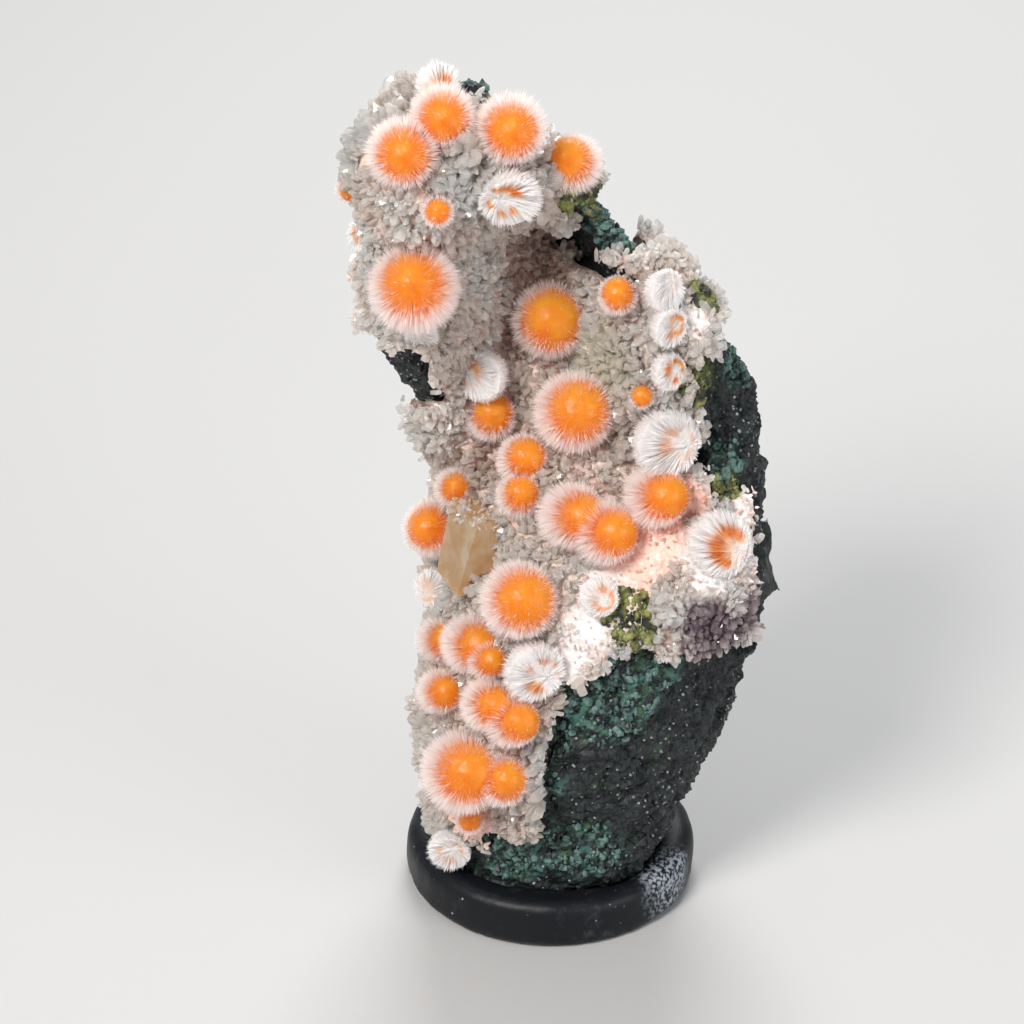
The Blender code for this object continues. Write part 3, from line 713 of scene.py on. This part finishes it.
def crust_finish():
    """The milky floor that the clear crystals grow from, painted darker and warmer as the
    shade in the gaps between them.
    """
    finish = Finish("druse_floor")
    tint = finish.noise(3.0, detail=5, roughness=0.7)
    rust = finish.noise(8.0, detail=3)
    edge = finish.noise(1.5, detail=4)
    # Painted shade: the floor's two colours are darker and warmer than the milky crust, for the
    # shade in the gaps between crystals; the noise mixes them at random
    colour = finish.mix(tint.step(0.35, 0.7), (0.50, 0.35, 0.29), (0.84, 0.73, 0.67))
    colour = finish.mix(rust.step(0.55, 0.7) * 0.5, colour, (0.80, 0.45, 0.30))
    colour = paint_patches(finish, edge, colour, (
        (CREAM_PATCHES, (0.96, 0.91, 0.78)),
        (PINK_PATCHES, (0.90, 0.62, 0.52)),
        # a tan, darker floor: painted shade in the hollows
        (TAN_SHADE_PATCHES, (0.52, 0.38, 0.32)),
        (DUSKY_PATCHES, (0.16, 0.11, 0.13)),
        (WHITE_PATCHES, (0.88, 0.83, 0.80)),
    ))
    bump = finish.bump(finish.cells(0.8), 0.7, 0.4)
    return finish.set(Base_Color=colour, Roughness=0.35, Normal=bump)


def grain_finish(name, dark, light):
    """Small mineral grains in two shades."""
    finish = Finish(name)
    tone = finish.noise(1.4, detail=3)
    colour = finish.mix(tone.step(0.38, 0.62), dark, light)
    return finish.set(Base_Color=colour, Roughness=tone * 0.4 + 0.3)


def calcite_finish(settings):
    """Clear honey-coloured calcite."""
    finish = Finish("calcite")
    veil = finish.noise(3.0, detail=4)
    colour = finish.mix(veil.step(0.4, 0.7), settings.colour, (0.96, 0.84, 0.62))
    finish.set(Base_Color=colour, Roughness=0.08, IOR=1.6, Transmission_Weight=0.6)
    return finish.let_through(0.3, colour)


def putty_finish(settings):
    """Matte black putty with a dusty patch and specks."""
    finish = Finish("putty")
    cloud = finish.noise(3.0, detail=6, roughness=0.75)
    fine = finish.noise(0.5, detail=3)
    edge = Vector((14.5, -9.5, 4.5))
    patch = (finish.distance_from(edge) + cloud * 5).step(8.5, 5.0) * fine.step(0.42, 0.6)
    specks = finish.cells(1.6).step(0.12, 0.06) * cloud.step(0.45, 0.6)
    film = cloud.step(0.55, 0.8) * 0.12
    dusty = patch.either(specks).either(film)
    colour = finish.mix(dusty, settings.black, settings.dust)
    bump = finish.bump(cloud + fine * 0.3, 0.35, 0.3)
    finish.set(Base_Color=colour, Roughness=dusty * 0.4 + 0.42, Specular_IOR_Level=0.25)
    return finish.set(Normal=bump)


class Heap:
    """Points, faces and UV values of a mesh while they are gathered."""

    def __init__(self):
        self.points, self.faces, self.uv, self.count = [], [], [], 0

    def add(self, points, faces, uv):
        self.points.append(points)
        self.faces.append(faces + self.count)
        self.uv.append(uv)
        self.count += len(points)

    def gathered(self):
        return np.concatenate(self.points), np.concatenate(self.faces), np.concatenate(self.uv)


def unit(vectors):
    """Vectors shortened or stretched to a length of one."""
    return vectors / np.linalg.norm(vectors, axis=1)[:, None]


def needle_points(root, directions, feet, ends, widths, draw):
    """Flat blades that widen outwards: a foot, the two sides of the waist and a tip each."""
    across = unit(np.cross(directions, draw.normal(size=directions.shape))) * (widths / 2)[:, None]
    waists = root + directions * (feet + (ends - feet) * NEEDLE_WAIST)[:, None]
    starts = root + directions * feet[:, None]
    tips = root + directions * ends[:, None]
    return np.stack([starts, waists - across, waists + across, tips], axis=1)


NEEDLE_FACES = np.array([(0, 1, 3), (0, 3, 2)])


def add_needles(heap, lobe, directions, feet, ends, widths, tints, shares, draw):
    """Adds the needles whose tips are outside the rock and the other sprays' cores."""
    root = lobe.middle + lobe.root
    others = [other for other in EVERY_LOBE if other is not lobe]
    near = [o for o in others if (o.middle - lobe.middle).length < o.radius + lobe.radius]
    kept = []
    for order, (direction, end) in enumerate(zip(directions, ends)):
        tip = root + Vector(direction) * end
        outside = all((tip - o.middle).length > o.radius * NEAREST_TIP for o in near)
        if outside and height_over(ROCK, tip) > LOWEST_TIP:
            kept.append(order)
    lengths = feet[kept], ends[kept]
    points = needle_points(np.array(root), directions[kept], *lengths, widths[kept], draw)
    count = len(kept)
    faces = (NEEDLE_FACES[None] + 4 * np.arange(count)[:, None, None]).reshape(-1, 3)
    first, last = shares[0][kept], shares[1][kept]
    waist = first + (last - first) * NEEDLE_WAIST
    outward = np.stack([first, waist, waist, last], axis=1)
    uv = np.stack([np.repeat(tints[kept], 4), outward.ravel()], axis=1)
    heap.add(points.reshape(-1, 3), faces, uv)


def bundled(directions, pull, draw):
    """Directions drawn together into loose bundles."""
    bundles = unit(draw.normal(size=(160, 3)))
    nearest = bundles[np.argmax(directions @ bundles.T, axis=1)]
    return unit(directions + nearest * draw.uniform(0.0, pull, size=(len(directions), 1)))


def way_out(lobe, directions, shares):
    """How far from its root a needle reaches a share of the spray's radius, in millimetres."""
    along = directions @ np.array(lobe.root)
    return np.sqrt(along**2 - lobe.root.length_squared + (shares * lobe.radius) ** 2) - along


def from_root(lobe, outside):
    """Directions from a spray's root to points on its outside, given from its middle."""
    return unit(outside * lobe.radius - np.array(lobe.root))


def orange_share(directions, strength, seed):
    """How orange a broken face is in each direction: some stretches of it are white."""
    return 0.55 + 0.45 * strength * np.clip(0.55 + 1.6 * lumps(directions, 0.9, seed), 0, 1)


def add_halo(heap, lobe, core, settings, draw):
    """Adds the needles that stand out all round a spray."""
    count = int(4 * math.pi * lobe.radius**2 * settings.needles_per_mm2)
    directions = bundled(from_root(lobe, unit(draw.normal(size=(count, 3)))), 0.03, draw)
    worn = np.clip((directions @ -np.array(AHEAD) - FRONT_FROM) / FRONT_OVER, 0, 1)
    ends = draw.uniform(*NEEDLE_ENDS, size=count) * (1 - FRONT_SHORTER * worn)
    widths = settings.needle_width / METRES * draw.uniform(0.6, 1.3, size=count)
    long = draw.random(count) < LONG_SHARE
    ends = way_out(lobe, directions, np.where(long, draw.uniform(*LONG_ENDS, size=count), ends))
    widths = np.where(long, widths * 1.8, widths)
    feet = np.full(count, core * lobe.radius * 0.93)
    tints = np.clip(draw.normal(0.08, 0.06, size=count), 0.0, 0.45)
    if lobe.facing:
        towards = directions @ np.array(lobe.facing)
        ends = np.minimum(ends, BROKEN_AT * lobe.radius / np.maximum(towards, 1e-3))
        feet = ends * 0.6
        widths = widths * 1.6
        tints = np.full(count, 0.52)
        ends = np.where(towards < 0.15, ends, 0)
        worn = np.zeros(count)
    stays = ends > np.maximum(feet * 1.12, lobe.radius * 0.4)
    stays &= draw.random(count) > worn * FRONT_FEWER
    last = np.where(long, 1.0, 1 - FRONT_ORANGE * worn * draw.uniform(0.6, 1.0, size=count))
    directions, ends, feet = directions[stays], ends[stays], feet[stays]
    shares = np.full(len(ends), NEEDLE_FOOT), last[stays]
    add_needles(heap, lobe, directions, feet, ends, widths[stays], tints[stays], shares, draw)


def add_broken_face(heap, lobe, strength, settings, seed, draw):
    """Adds the satiny needles that lie in a broken spray's face."""
    facing = np.array(lobe.facing)
    count = int(math.pi * lobe.radius**2 * settings.needles_per_mm2 * 1.5)
    loose = draw.normal(size=(count, 3))
    sideways = from_root(lobe, unit(loose - np.outer(loose @ facing, facing)))
    sideways = bundled(sideways, 0.3, draw)
    lean = draw.uniform(-0.05, 0.30, size=count) + 0.12 * lumps(sideways, 0.4, seed + 1)
    directions = unit(sideways + facing * lean[:, None])
    chipped = 1 - 0.2 * np.clip(lumps(sideways, 0.5, seed), 0, 1)
    reached = way_out(lobe, directions, np.full(count, 1.0)) * chipped
    first = draw.uniform(0.05, 0.6, size=count)
    last = first + draw.uniform(0.3, 0.6, size=count)
    last = np.minimum(last, draw.uniform(0.85, 1.02, size=count))
    widths = settings.needle_width / METRES * draw.uniform(2.0, 5.0, size=count)
    tints = orange_share(directions, strength, seed)
    feet, ends = first * reached, last * reached
    add_needles(heap, lobe, directions, feet, ends, widths, tints, (first, last), draw)


def add_core(heap, lobe, core, strength, seed):
    """Adds a spray's compact core: a lumpy ball, or most of a broken spray, with its face."""
    ball = bmesh.new()
    bmesh.ops.create_icosphere(ball, subdivisions=5 if lobe.facing else 4, radius=1.0)
    out = np.array([vertex.co for vertex in ball.verts])
    corners = np.array([[vertex.index for vertex in face.verts] for face in ball.faces])
    ball.free()
    root = np.array(lobe.middle + lobe.root)
    rough = 1 + 0.03 * lumps(out, 0.25, seed)
    if lobe.facing:
        facing = np.array(lobe.facing)
        sideways = unit(out - np.outer(out @ facing, facing) + 1e-6)
        grooves = lumps(sideways, 0.13, seed + 1)
        reached = way_out(lobe, out, np.full(len(out), BROKEN_ENDS))
        tints = orange_share(out, strength, seed)
        inside = out * (reached * (rough + 0.07 * grooves))[:, None]
        relief = 0.07 * lumps(sideways, 0.5, seed)
        face_height = lobe.radius * (BROKEN_AT * 0.45 + relief + 0.05 * grooves)
        inside -= np.maximum(inside @ facing - face_height, 0)[:, None] * facing
        shares = np.linalg.norm(inside, axis=1) / np.maximum(reached, 1e-3) * BROKEN_ENDS
        heap.add(root + inside, corners, np.stack([tints, shares], axis=1))
        return
    # Painted light and shade on a whole core: its colour share rises towards golden on its upper
    # side and falls towards red-orange on its lower side, with lumps of random tone
    painted_light_upward = out @ np.array(UP)
    shares = np.clip(0.33 + 0.12 * painted_light_upward + 0.16 * lumps(out, 0.45, seed + 3), 0.05, 0.52)
    ball = out * (core * lobe.radius * rough)[:, None]
    heap.add(root + ball, corners, np.stack([np.full(len(out), 0.02), shares], axis=1))


def make_spray(name, lobes, settings, finish):
    """One spray with all its lobes."""
    seed = sum(ord(letter) for letter in name)
    draw = np.random.default_rng(seed)
    heap = Heap()
    strength = ORANGE.get(name, 1.0)
    core = CORES.get(name, settings.core_share)
    for lobe in lobes:
        add_core(heap, lobe, core, strength, seed)
        add_halo(heap, lobe, core, settings, draw)
        if lobe.facing:
            add_broken_face(heap, lobe, strength, settings, seed, draw)
    points, faces, uv = heap.gathered()
    nodes = (f"thomsonite_{name}",)
    return add_piece(f"{name}_needles", points, faces, finish, nodes, uv)


def rim_of_crust():
    """The crust's side walls, as a tree of their middles."""
    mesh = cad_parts["druse_crust"].data
    walls = []
    for face in mesh.polygons:
        middle = face.center / METRES
        _, normal, _, distance = ROCK.find_nearest(middle)
        if distance < 1.6 and abs(face.normal.dot(normal)) < 0.35:
            walls.append(middle)
    rim = KDTree(len(walls))
    for order, middle in enumerate(walls):
        rim.insert(middle, order)
    rim.balance()
    return rim


def past_bulge(point):
    """Whether a point of the crust is past the druse's edge on the right-hand bulge."""
    right, up = seen(point)
    return right > BULGE_EDGE + 1.2 * noise.noise(point / 1.6) and up < 56


def worn_away(point, rim, bare, whole):
    """Whether the druse is missing at a point: on a bare patch, or where its edge is ragged."""
    if in_patches(point, whole):
        return False
    if in_patches(point, bare):
        return True
    reach = KEPT_ROUND_SPRAYS
    if any((point - lobe.middle).length < lobe.radius + reach for lobe in EVERY_LOBE):
        return False
    depth = EDGE_REACH
    for height, size in (FINE_RAGS, BROAD_RAGS):
        depth += height * noise.noise(point / size)
    return rim.find(point)[2] < depth


def spots_on(node, count, draw, is_outside):
    """Places on the outside of a solid: (point, normal) pairs, evenly spread."""
    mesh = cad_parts[node].data
    outer = [face for face in mesh.polygons if is_outside(face)]
    areas = np.array([face.area for face in outer])
    spots = []
    for order in draw.choice(len(outer), size=count, p=areas / areas.sum()):
        face = outer[order]
        a, b, c = (mesh.vertices[i].co / METRES for i in face.vertices)
        s, t = draw.random(2)
        if s + t > 1:
            s, t = 1 - s, 1 - t
        spots.append((a + (b - a) * s + (c - a) * t, face.normal.copy()))
    return spots


def faces_out(face):
    """Whether a face of the crust is on its outside."""
    middle = face.center / METRES
    nearest, _, _, distance = ROCK.find_nearest(middle)
    return distance > 0.6 and face.normal.dot((middle - nearest).normalized()) > 0.05


def is_clear(point):
    """Whether a point keeps out of the sprays. Small ones are half buried in the druse."""
    for lobe in EVERY_LOBE:
        share = 0.5 if lobe.radius < 3.0 else 0.82
        if (point - lobe.middle + lobe.root * 0.5).length < lobe.radius * share:
            return False
    return True


def grain_piece(name, patches, points, count, biggest, finish):
    """Small lumps that sit on patches of the rock."""
    draw = np.random.default_rng(len(name))
    ball = bmesh.new()
    bmesh.ops.create_icosphere(ball, subdivisions=1, radius=1.0)
    shape = np.array([vertex.co for vertex in ball.verts])
    corners = np.array([[vertex.index for vertex in face.verts] for face in ball.faces])
    ball.free()
    heap = Heap()
    inside = [point for point in points if in_patches(Vector(point), patches)]
    for order in draw.choice(len(inside), size=min(count, len(inside)), replace=False):
        size = biggest * (0.3 + 0.7 * draw.random() ** 2)
        stretched = shape * draw.uniform(0.6, 1.2, size=3)
        uneven = stretched * draw.uniform(0.75, 1.15, size=(len(shape), 1))
        heap.add(inside[order] + uneven * size, corners, np.zeros((len(shape), 2)))
    made, faces, _ = heap.gathered()
    return add_piece(name, made, faces, finish)


def add_crystal(point, axis, length, draw, points, faces):
    """Adds a four-sided blade with a roof-shaped end."""
    side = axis.cross(Vector(draw.normal(size=3))).normalized()
    front = axis.cross(side)
    wide = length * draw.uniform(0.22, 0.42)
    thin = wide * draw.uniform(0.35, 0.9)
    shoulder = draw.uniform(0.45, 0.8)
    start = len(points)
    for height in (-0.4, shoulder):
        middle = point + axis * (length * height)
        for across, ahead in ((1, 1), (-1, 1), (-1, -1), (1, -1)):
            points.append(middle + side * (wide * across) + front * (thin * ahead))
    ridge = wide * draw.uniform(0.1, 0.6)
    points.append(point + axis * length - side * ridge)
    points.append(point + axis * length + side * ridge)
    for turn in range(4):
        after = (turn + 1) % 4
        faces.append((start + turn, start + after, start + 4 + after, start + 4 + turn))
    left, right = start + 8, start + 9
    first, second, third, fourth = (start + 4 + turn for turn in range(4))
    faces.extend([(fourth, first, right), (second, third, left)])
    faces.extend([(first, second, left, right), (third, fourth, right, left)])


class SPECIMEN_OT_basalt(bpy.types.Operator):
    """Make the broken basalt with its gas bubbles"""

    bl_idname = "specimen.basalt"
    bl_label = "Basalt"

    def execute(self, context):
        settings = context.scene.specimen_basalt
        points, normals, faces = fine_surface("basalt_matrix", settings.grain, 4)
        draw = random.Random(8)
        pits = []
        for _ in range(BUBBLES):
            middle = points[draw.randrange(len(points))]
            pits.append((middle, 0.5 + 1.1 * draw.random() ** 2))
        height = settings.roughness_height / METRES
        relief = lumps(points, ROUND_LUMPS[0], 1) + lumps(points, ROUND_LUMPS[1], 2) * 1.1
        relief -= np.abs(lumps(points, SHARP_RIDGES[0], 3)) * 1.6
        relief += 0.6 - np.abs(lumps(points, SHARP_RIDGES[1], 4)) * 1.5
        crust = solid_tree("druse_crust")
        hits = [crust.find_nearest(Vector(point), NEAR_DRUSE)[0] for point in points]
        covered = np.array([hit is not None for hit in hits])
        points += normals * np.where(covered, -DRAWN_BACK, relief * height)[:, None]
        press_pits(points, normals, pits)
        add_piece("basalt", points, faces, basalt_finish(settings), ("basalt_matrix",))
        teal = grain_finish("celadonite", (0.008, 0.014, 0.015), (0.12, 0.22, 0.19))
        teal_places = patches_on_rock(TEAL_PATCHES)
        grain_piece("celadonite_grains", teal_places, points, 1100, 0.8, teal)
        moss = grain_finish("moss_crust", (0.03, 0.04, 0.015), (0.30, 0.30, 0.12))
        moss_places = patches_on_rock(MOSS_PATCHES)
        grain_piece("moss_grains", moss_places, points, 1300, 0.6, moss)
        return {"FINISHED"}


class SPECIMEN_OT_druse(bpy.types.Operator):
    """Make the crust and the small crystals on it"""

    bl_idname = "specimen.druse"
    bl_label = "Druse"

    def execute(self, context):
        settings = context.scene.specimen_druse
        points, normals, faces = fine_surface("druse_crust", DRUSE_GRAIN * METRES, 3)
        shaken = np.stack([lumps(points, 1.4, seed) for seed in (21, 22, 23)], axis=1)
        points += shaken * FLOOR_SHAKE - normals * FLOOR_DRAWN_IN
        bare = patches_on_rock(BARE_PATCHES)
        rim = rim_of_crust()
        whole = patches_on_rock(WHOLE_PATCHES)
        floor, rocky = [], []
        for face in faces:
            corner = Vector(points[face[0]])
            if past_bulge(corner):
                rocky.append(face)
            elif not worn_away(corner, rim, bare, whole):
                floor.append(face)
        add_piece("druse_floor", points, floor, crust_finish(), ("druse_crust",))
        rock = basalt_finish(context.scene.specimen_basalt)
        add_piece("bulge_rock", points, rocky, rock, ("druse_crust",))
        draw = np.random.default_rng(11)
        moss_places = patches_on_rock(MOSS_PATCHES)
        massive = patches_on_rock(PINK_PATCHES) + patches_on_rock(WHITE_PATCHES)
        cream, large = patches_on_rock(CREAM_PATCHES), patches_on_rock(LARGE_PATCHES)
        crystals, grains, sides, grain_sides = [], [], [], []
        shortest, longest = settings.shortest / METRES, settings.longest / METRES
        for point, normal in spots_on("druse_crust", settings.crystals, draw, faces_out):
            if past_bulge(point) or worn_away(point, rim, bare, whole) or not is_clear(point):
                continue
            if in_patches(point, moss_places):
                continue
            axis = (normal + Vector(draw.normal(size=3)) * CRYSTAL_LEAN).normalized()
            length = shortest + (longest - shortest) * draw.random() ** 2
            if in_patches(point, massive):
                if draw.random() < 0.3:
                    length = shortest * draw.uniform(0.8, 1.6)
                    add_crystal(point, axis, length, draw, grains, grain_sides)
                continue
            if in_patches(point, large):
                length = longest * draw.uniform(0.9, 1.6)
            if in_patches(point, cream):
                axis = (point - cream[0][0] + normal * 3.0).normalized()
                length = longest * draw.uniform(0.8, 1.5)
            add_crystal(point, axis, length, draw, crystals, sides)
        for gap in GAPS:
            middle = stands_at(ROCK, *gap, 1.2)
            for _ in range(GAP_CRYSTALS):
                point = middle + Vector(draw.normal(size=3)) * 0.6
                axis = (Vector(draw.normal(size=3)) * 0.5 - AHEAD).normalized()
                add_crystal(point, axis, longest * draw.uniform(0.6, 1.0), draw, crystals, sides)
        spots = spots_on("calcite_crystal", CALCITE_CRYSTALS, draw, lambda face: True)
        for point, normal in spots:
            right, up = seen(point)
            if up + right * 0.4 > 38.3 + noise.noise(point / 1.5):
                axis = (normal + Vector(draw.normal(size=3)) * 0.5).normalized()
                add_crystal(point, axis, shortest * draw.uniform(1.0, 2.0), draw, crystals, sides)
        clear = crystal_finish(settings)
        add_piece("druse_crystals", crystals, sides, clear, ("druse_crust",))
        add_piece("milky_grains", grains, grain_sides, milky_finish(), ("druse_crust",))
        floor_points = points[sorted({corner for face in floor for corner in face})]
        moss = grain_finish("moss_on_druse", (0.02, 0.025, 0.012), (0.26, 0.27, 0.08))
        grain_piece("moss_on_druse", moss_places, floor_points, 1300, 0.9, moss)
        return {"FINISHED"}


class SPECIMEN_OT_thomsonite(bpy.types.Operator):
    """Make the thomsonite sprays"""

    bl_idname = "specimen.thomsonite"
    bl_label = "Thomsonite"

    def execute(self, context):
        settings = context.scene.specimen_sprays
        finish = needle_finish(settings)
        for name, lobes in LOBES.items():
            make_spray(name, lobes, settings, finish)
        return {"FINISHED"}


class SPECIMEN_OT_calcite(bpy.types.Operator):
    """Make the calcite crystal"""

    bl_idname = "specimen.calcite"
    bl_label = "Calcite"

    def execute(self, context):
        crystal = bmesh.new()
        crystal.from_mesh(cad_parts["calcite_crystal"].data)
        bmesh.ops.remove_doubles(crystal, verts=crystal.verts[:], dist=1e-6)
        points = [vertex.co / METRES for vertex in crystal.verts]
        faces = [tuple(vertex.index for vertex in face.verts) for face in crystal.faces]
        crystal.free()
        finish = calcite_finish(context.scene.specimen_calcite)
        add_piece("calcite", points, faces, finish, ("calcite_crystal",))
        return {"FINISHED"}


class SPECIMEN_OT_putty(bpy.types.Operator):
    """Make the putty pad"""

    bl_idname = "specimen.putty"
    bl_label = "Putty pad"

    def execute(self, context):
        points, normals, faces = fine_surface("putty_pad", 0.7 * METRES, 6)
        above = points[:, 2] > 1.0
        swell = lumps(points, 7.0, 5) * 0.25 + lumps(points, 2.5, 6) * 0.06
        points += normals * (swell * above)[:, None]
        finish = putty_finish(context.scene.specimen_putty)
        piece = add_piece("putty", points, faces, finish, ("putty_pad",))
        piece.data.shade_smooth()
        return {"FINISHED"}


def add_light(name, place, aim, width, power, colour):
    """A soft rectangular light at a place in metres, aimed at a point."""
    light = bpy.data.lights.new(name, "AREA")
    light.size = width
    light.energy = power
    light.color = colour
    lamp = bpy.data.objects.new(name, light)
    lamp.location = place
    lamp.rotation_euler = (Vector(aim) - Vector(place)).to_track_quat("-Z", "Y").to_euler()
    bpy.context.scene.collection.objects.link(lamp)


class SPECIMEN_OT_stage(bpy.types.Operator):
    """Make the floor, the lights and the camera"""

    bl_idname = "specimen.stage"
    bl_label = "Stage"

    def execute(self, context):
        scene = context.scene
        settings = scene.specimen_stage
        floor_finish = Finish("floor")
        floor_finish.set(Base_Color=tuple(settings.floor_colour), Roughness=0.6)
        mesh = bpy.data.meshes.new("floor")
        reach = 4.0
        corners = [(-reach, -reach, 0), (reach, -reach, 0), (reach, reach, 0), (-reach, reach, 0)]
        mesh.from_pydata(corners, [], [(0, 1, 2, 3)])
        mesh.materials.append(floor_finish.material)
        floor = bpy.data.objects.new("floor", mesh)
        scene.collection.objects.link(floor)
        aim = (0, 0, 0.055)
        power = settings.key_power
        add_light("key", (-0.30, -0.42, 0.55), aim, 0.22, power, (1.0, 0.98, 0.95))
        add_light("fill", (0.50, -0.40, 0.25), aim, 0.40, power * 0.35, (0.95, 0.97, 1.0))
        add_light("rim", (0.05, 0.45, 0.50), aim, 0.30, power * 0.6, (1.0, 1.0, 1.0))
        world = bpy.data.worlds.new("studio")
        world.use_nodes = True
        world.node_tree.nodes["Background"].inputs["Color"].default_value = (0.9, 0.93, 1.0, 1)
        world.node_tree.nodes["Background"].inputs["Strength"].default_value = 0.38
        scene.world = world
        camera = bpy.data.cameras.new("camera")
        camera.sensor_width = 36.0
        camera.lens = camera.sensor_width * EYE_DISTANCE / SEEN_WIDTH
        camera.clip_start = 0.01
        eye = bpy.data.objects.new("camera", camera)
        eye.location = EYE * METRES
        eye.rotation_euler = (math.pi / 2 - SIGHT_TILT, 0, 0)
        scene.collection.objects.link(eye)
        scene.camera = eye
        scene.view_settings.view_transform = "Standard"
        return {"FINISHED"}


class SPECIMEN_PT_panel(bpy.types.Panel):
    """Lists the specimen's pieces"""

    bl_idname = "SPECIMEN_PT_panel"
    bl_label = "Thomsonite Specimen"
    bl_space_type = "VIEW_3D"
    bl_region_type = "UI"
    bl_category = "Specimen"

    def draw(self, context):
        for operator in OPERATORS:
            self.layout.operator(operator.bl_idname)


SETTINGS = {
    "specimen_basalt": BasaltSettings,
    "specimen_druse": DruseSettings,
    "specimen_sprays": SpraySettings,
    "specimen_calcite": CalciteSettings,
    "specimen_putty": PuttySettings,
    "specimen_stage": StageSettings,
}
OPERATORS = (
    SPECIMEN_OT_basalt,
    SPECIMEN_OT_druse,
    SPECIMEN_OT_thomsonite,
    SPECIMEN_OT_calcite,
    SPECIMEN_OT_putty,
    SPECIMEN_OT_stage,
)


def register():
    for group in (*SETTINGS.values(), *OPERATORS, SPECIMEN_PT_panel):
        bpy.utils.register_class(group)
    for name, group in SETTINGS.items():
        setattr(bpy.types.Scene, name, PointerProperty(type=group))


def unregister():
    for name in SETTINGS:
        delattr(bpy.types.Scene, name)
    for group in (SPECIMEN_PT_panel, *reversed(OPERATORS), *SETTINGS.values()):
        bpy.utils.unregister_class(group)


def main():
    register()
    bpy.ops.specimen.basalt()
    bpy.ops.specimen.druse()
    bpy.ops.specimen.thomsonite()
    bpy.ops.specimen.calcite()
    bpy.ops.specimen.putty()
    bpy.ops.specimen.stage()


if __name__ == "__main__":
    main()
